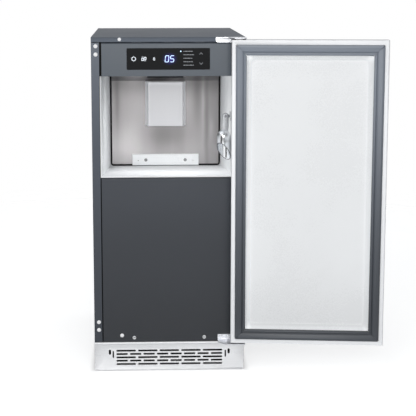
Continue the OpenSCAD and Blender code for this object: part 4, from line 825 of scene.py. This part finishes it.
# The bead's middle line runs down one side, round the bottom corners and up the other; its
# section is half an ellipse, and above the crease the wall leans forward by lean per height.
def makeBinSeal(b):
    low, high = (np.array(corner) * 1000.0 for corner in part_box("bin_seal_trim"))
    inset = b["width"] / 2
    half, radius = high[0] - inset, b["corner"] - inset
    ring = direction(np.radians(np.linspace(180, 270, 9)))
    upright = [(-half, z) for z in np.linspace(b["leanTop"], b["crease"], 3)]
    line = np.concatenate([upright, [radius - half, low[2] + b["corner"]] + radius * ring])
    normals = np.concatenate([[(-1.0, 0.0)] * len(upright), ring])
    line, normals = (np.concatenate([left, left[::-1] * [-1, 1]]) for left in (line, normals))
    t = np.linspace(-1, 1, 9)
    section = np.concatenate([
        np.stack([t * inset, b["proud"] * np.sqrt(1 - t ** 2) + b["lift"]], 1),
        [[inset, -b["sink"]], [-inset, -b["sink"]]]])
    flat = line[:, None] + normals[:, None] * section[None, :, :1]
    wall = high[1] - b["behind"] - np.maximum(flat[..., 1] - b["crease"], 0) * b["lean"]
    rows = np.stack([flat[..., 0], wall - section[None, :, 1], flat[..., 1]], -1)
    addShape("bin_seal_bead", cappedTube(rows), "cabinet", "seal_black_and_gap_shade",
             smooth=50.0)


makeBinSeal(binSeal)

# display: lamps, symbols and digits under the black window, as ribbons along lines of (x, z)
display = {
    "face": -279.2, "lift": 0.12, "depth": 0.3, "miter": 0.35,
    "power": {"centre": (-85, 793), "radius": 4.7, "start": 112, "sweep": 316, "width": 1.7,
              "stem": (796.4, 799.2), "stemWidth": 1.2},
    "cubes": {"centres": [(-63, 791.4), (-57.2, 794.4)], "radius": 3.4, "width": 1.5,
              "dashes": [(-65.4, -61.6, 797.2), (-59, -55.2, 788.6)], "dashWidth": 1.4},
    "drop": {"centre": (-35, 793), "wide": 2.4, "tall": 3.5, "width": 1.3},
    "chevrons": {"lines": [[(76.4, 803.4), (80.6, 807.6), (84.8, 803.4)],
                           [(76.4, 783.4), (80.6, 779.2), (84.8, 783.4)]], "width": 0.95},
    "digits": {"text": "05", "place": (-7.6, 792.9), "size": (8.4, 15.2), "apart": 4.4,
               "lean": 0.11, "ease": 0.5, "width": 1.35},
    "labels": {"x": 37, "part": 0.98, "apart": 0.7, "width": 1.5,
               "rows": [(811.2, (2, 8, 5, 6)), (802.8, (4, 3, 6, 4, 6)), (794.2, (2, 6, 7, 5)),
                        (785.6, (7, 5, 4, 5)), (777.2, (5, 6, 3, 6, 3))]},
    "lamp": {"centre": (30.6, 811.2), "radius": 0.9, "width": 1.5},
}


# A ribbon along a polyline in the window's plane, mitred where it turns.
def stroke(points, width, closed=False):
    p = np.asarray(points, float)
    ahead, behind = np.roll(p, -1, 0) - p, p - np.roll(p, 1, 0)
    if not closed:
        ahead[-1], behind[0] = behind[-1], ahead[0]
    ahead = unit(ahead)
    side = ahead + unit(behind)
    side = unit(np.stack([-side[:, 1], side[:, 0]], 1))
    lean = np.abs((side * np.stack([-ahead[:, 1], ahead[:, 0]], 1)).sum(1))[:, None]
    offset = side * width / 2 / np.maximum(lean, display["miter"])
    return p + offset, p - offset, closed


# Four rows of points, left and right edge at the back and front, joined into a thin strip.
def ribbonGrid(left, right, closed, back, front):
    n = len(left)
    rows = [atDepth(edge, y)
            for edge, y in [(left, front), (right, front), (right, back), (left, back)]]
    faces = gridFaces(4, n, wrapRows=True, wrapCols=closed)
    if not closed:
        faces += [list(range(start, 4 * n, n)) for start in (0, n - 1)]
    return np.array(rows), faces


def circlePoints(centre, radius, n, start=0.0, sweep=360.0, closed=True):
    return np.asarray(centre) + radius * direction(
        np.radians(start + np.linspace(0, sweep, n, endpoint=not closed)))


# Power sign, two ice cubes with a dash by each, and a water drop: a circle whose top is drawn
# out to a point by x = wide sin a sin(a/2).
def signRibbons(power, cubes, drop):
    x, z = power["centre"]
    ribbons = [(circlePoints((x, z), power["radius"], 24, power["start"], power["sweep"], False),
                power["width"]), ([(x, end) for end in power["stem"]], power["stemWidth"])]
    ribbons += [(circlePoints(centre, cubes["radius"], 4, 45), cubes["width"], True)
                for centre in cubes["centres"]]
    ribbons += [([(x0, z), (x1, z)], cubes["dashWidth"]) for x0, x1, z in cubes["dashes"]]
    turn = np.linspace(0, 2 * np.pi, 29)[:-1]
    outline = np.stack([drop["wide"] * np.sin(turn) * np.sin(turn / 2),
                        drop["tall"] * np.cos(turn)], 1)
    return ribbons + [(outline + drop["centre"], drop["width"], True)]


segmentEnds = {"a": (0, 2, 1, 2), "b": (1, 2, 1, 1), "c": (1, 1, 1, 0), "d": (0, 0, 1, 0),
               "e": (0, 1, 0, 0), "f": (0, 2, 0, 1), "g": (0, 1, 1, 1)}
segmentsOf = {"0": "abcdef", "5": "afgcd"}


# Seven-segment numerals: each segment is a short bar between two corners of a 1 x 2 grid.
def digitRibbons(d):
    ribbons, (x, z), (width, height) = [], d["place"], d["size"]
    for i, character in enumerate(d["text"]):
        for letter in segmentsOf[character]:
            corners = np.reshape(segmentEnds[letter], (2, 2)) + [0, -1]
            rise = corners[:, 1] * height / 2
            ends = np.stack([x + i * (width + d["apart"]) + corners[:, 0] * width
                             + rise * d["lean"], z + rise], 1)
            ease = unit(ends[1] - ends[0]) * d["ease"]
            ribbons.append(([ends[0] + ease, ends[1] - ease], d["width"]))
    return ribbons


# Rows of dashes that stand for the printed words.
def labelRibbons(d):
    ribbons = []
    for z, run in d["rows"]:
        x = d["x"]
        for dash in run:
            ribbons.append(([(x, z), (x + dash * d["part"], z)], d["width"]))
            x += dash + d["apart"]
    return ribbons


def makeDisplay(d):
    front, back = d["face"] - d["lift"], d["face"] + d["depth"]
    chevrons, lamp = d["chevrons"], d["lamp"]
    for name, finish, ribbons in [
            ("symbols", "lamp_white", signRibbons(d["power"], d["cubes"], d["drop"])),
            ("chevrons", "print_grey", [(line, chevrons["width"])
                                        for line in chevrons["lines"]]),
            ("digits", "digit_blue", digitRibbons(d["digits"])),
            ("labels", "print_grey", labelRibbons(d["labels"])),
            ("lamp", "digit_blue", [(circlePoints(lamp["centre"], lamp["radius"], 12),
                                     lamp["width"], True)])]:
        grids = [ribbonGrid(*stroke(*ribbon), back, front) for ribbon in ribbons]
        addShape("display_" + name, joinGrids(grids), "cabinet", finish,
                 smooth=30.0)


makeDisplay(display)
print("display lit")

# stage and light: the floor glows a little to the camera, and by a share to what mirrors it, so
# that it reads as white; it fades out between solid and edge
stageLook = {"floor": (240, 241, 242), "rough": 0.6, "grain": 40, "spread": 0.01, "size": 12,
             "lift": 0.58, "mirrored": 0.4, "halfX": 0.175, "halfY": 0.27, "fadeIn": 0.03,
             "solid": 1.3, "edge": 2.6, "world": 0.38, "worldColour": (0.97, 0.985, 1, 1),
             "lampColour": (1, 0.99, 0.975)}
# each lamp: place, aim, size, power, spread in degrees and whether metal mirrors it
lampSet = {
    "keySoftbox": ((-0.8, -2.4, 1.8), (0.05, -0.28, 0.7), (1, 1), 14, 180, True),
    "frontSoftbox": ((0.1, -2.9, 1.12), (0.1, 0, 0.75), (1.2, 0.6), 24, 180, True),
    "binLamp": ((0, -0.065, 0.744), (0, -0.065, 0.4), (0.18, 0.3), 0.45, 130, False),
    "ledStrip": ((0, -0.235, 0.745), (0.14, 0.12, 0.6), (0.08, 0.02), 0.34, 180, False),
}
# each card: x, y, turn in degrees, width, low and high edge
flagCloth = {"colour": (0.02, 0.02, 0.022, 1), "rough": 0.9}
flags = {"flagLeft": (-1.25, -1.5, 45, 0.9, 0, 1.6),
         "flagRight": (1.35, -1.9, -35, 0.6, 0, 1.6),
         "flagHigh": (0.2, -2, 0, 2.2, 1.75, 2.6)}


# A flat card for the stage from its four corners in metres.
def addCard(name, corners, material):
    mesh = bpy.data.meshes.new(name)
    mesh.from_pydata(corners, [], [(0, 1, 2, 3)])
    mesh.materials.append(material)
    card = linkObject(name, mesh)
    return card


# Plain light on the object, white where the camera looks past it or sees it mirrored.
def makeWorld(stage):
    world = bpy.data.worlds.new("paleRoom")
    bpy.context.scene.world = world
    world.use_nodes = True
    tree = world.node_tree
    tree.nodes.clear()
    path = addNode(tree, "LightPath").outputs
    seen = addMath(tree, "MAXIMUM", path["Is Camera Ray"], path["Is Glossy Ray"],
                   path["Is Transmission Ray"])
    plain = addNode(tree, "Background", [("Color", stage["worldColour"]),
                                         ("Strength", stage["world"])])
    white = addNode(tree, "Background", [("Color", (1, 1, 1, 1))])
    mix = addNode(tree, "MixShader", [(0, seen), (1, plain.outputs[0]), (2, white.outputs[0])])
    addNode(tree, "OutputWorld", [(0, mix.outputs[0])])


def makeFloor(stage):
    material, tree, shader = newMaterial("paleFloor")
    shader.inputs["Roughness"].default_value = stage["rough"]
    place = addNode(tree, "TexCoord").outputs["Object"]
    grain = addNode(tree, "Group", [("Vector", place), ("Colour", linear(stage["floor"])),
                                    ("Scale", stage["grain"]), ("Spread", stage["spread"])],
                    node_tree=grainGroup)
    tree.links.new(grain.outputs["Colour"], shader.inputs["Base Color"])
    path = addNode(tree, "LightPath").outputs
    shown = addMath(tree, "MAXIMUM", path["Is Camera Ray"],
                    addMath(tree, "MULTIPLY", path["Is Glossy Ray"], stage["mirrored"]))
    # no lift under the cabinet, where the floor is dark: the larger of the distances past its
    # sides fades it in
    spot = addNode(tree, "SeparateXYZ", [(0, place)]).outputs
    past = addMath(tree, "MAXIMUM", *(
        addMath(tree, "SUBTRACT", addMath(tree, "ABSOLUTE", spot[axis]), stage["half" + axis])
        for axis in "XY"))
    clearOf = addNode(tree, "MapRange", [("Value", past), ("From Max", stage["fadeIn"])])
    strength = addMath(tree, "MULTIPLY", shown, clearOf.outputs[0], stage["lift"])
    glow = addNode(tree, "Emission", [("Color", (1, 1, 1, 1)), ("Strength", strength)])
    both = addNode(tree, "AddShader", [(0, shader.outputs[0]), (1, glow.outputs[0])])
    # the floor fades into the pale room: clear beyond a radius worked out from its own place
    fade = addNode(tree, "MapRange", [("Value", addVector(tree, "LENGTH", place)),
                                      ("From Min", stage["solid"]), ("From Max", stage["edge"])])
    clear = addNode(tree, "BsdfTransparent")
    ends = addNode(tree, "MixShader", [(0, fade.outputs[0]), (1, both.outputs[0]),
                                       (2, clear.outputs[0])])
    tree.links.new(ends.outputs[0], tree.nodes["Material Output"].inputs["Surface"])
    size = stage["size"]
    addCard("floor", [(-size, -size, 0), (size, -size, 0), (size, size, 0), (-size, size, 0)],
            material)


def makeLamps(lamps, colour):
    for name, (place, aim, size, power, spread, glossy) in lamps.items():
        data = bpy.data.lights.new(name, "AREA")
        data.energy, data.shape, data.color = power, "RECTANGLE", colour
        data.size, data.size_y = size
        data.spread = math.radians(spread)
        lamp = linkObject(name, data)
        lamp.location = place
        way = Vector(aim) - Vector(place)
        lamp.rotation_euler = way.to_track_quat("-Z", "Y").to_euler()
        lamp.visible_camera, lamp.visible_glossy = False, glossy


# Dark cards beside the camera that only metal sees, so polished forms read against white.
def makeFlags(cards, cloth):
    material, _, shader = newMaterial("flagCloth")
    shader.inputs["Base Color"].default_value = cloth["colour"]
    shader.inputs["Roughness"].default_value = cloth["rough"]
    for name, (x, y, turn, width, low, high) in cards.items():
        dx, dy = turned(width / 2, 0.0, -turn)
        card = addCard(name, [(x - dx, y - dy, low), (x + dx, y + dy, low),
                              (x + dx, y + dy, high), (x - dx, y - dy, high)], material)
        card.visible_camera = card.visible_diffuse = card.visible_shadow = False
        card.visible_transmission = False


makeWorld(stageLook)
makeFloor(stageLook)
makeLamps(lampSet, stageLook["lampColour"])
makeFlags(flags, flagCloth)
bpy.context.scene.view_settings.view_transform = "Standard"
print("stage and lamps set")
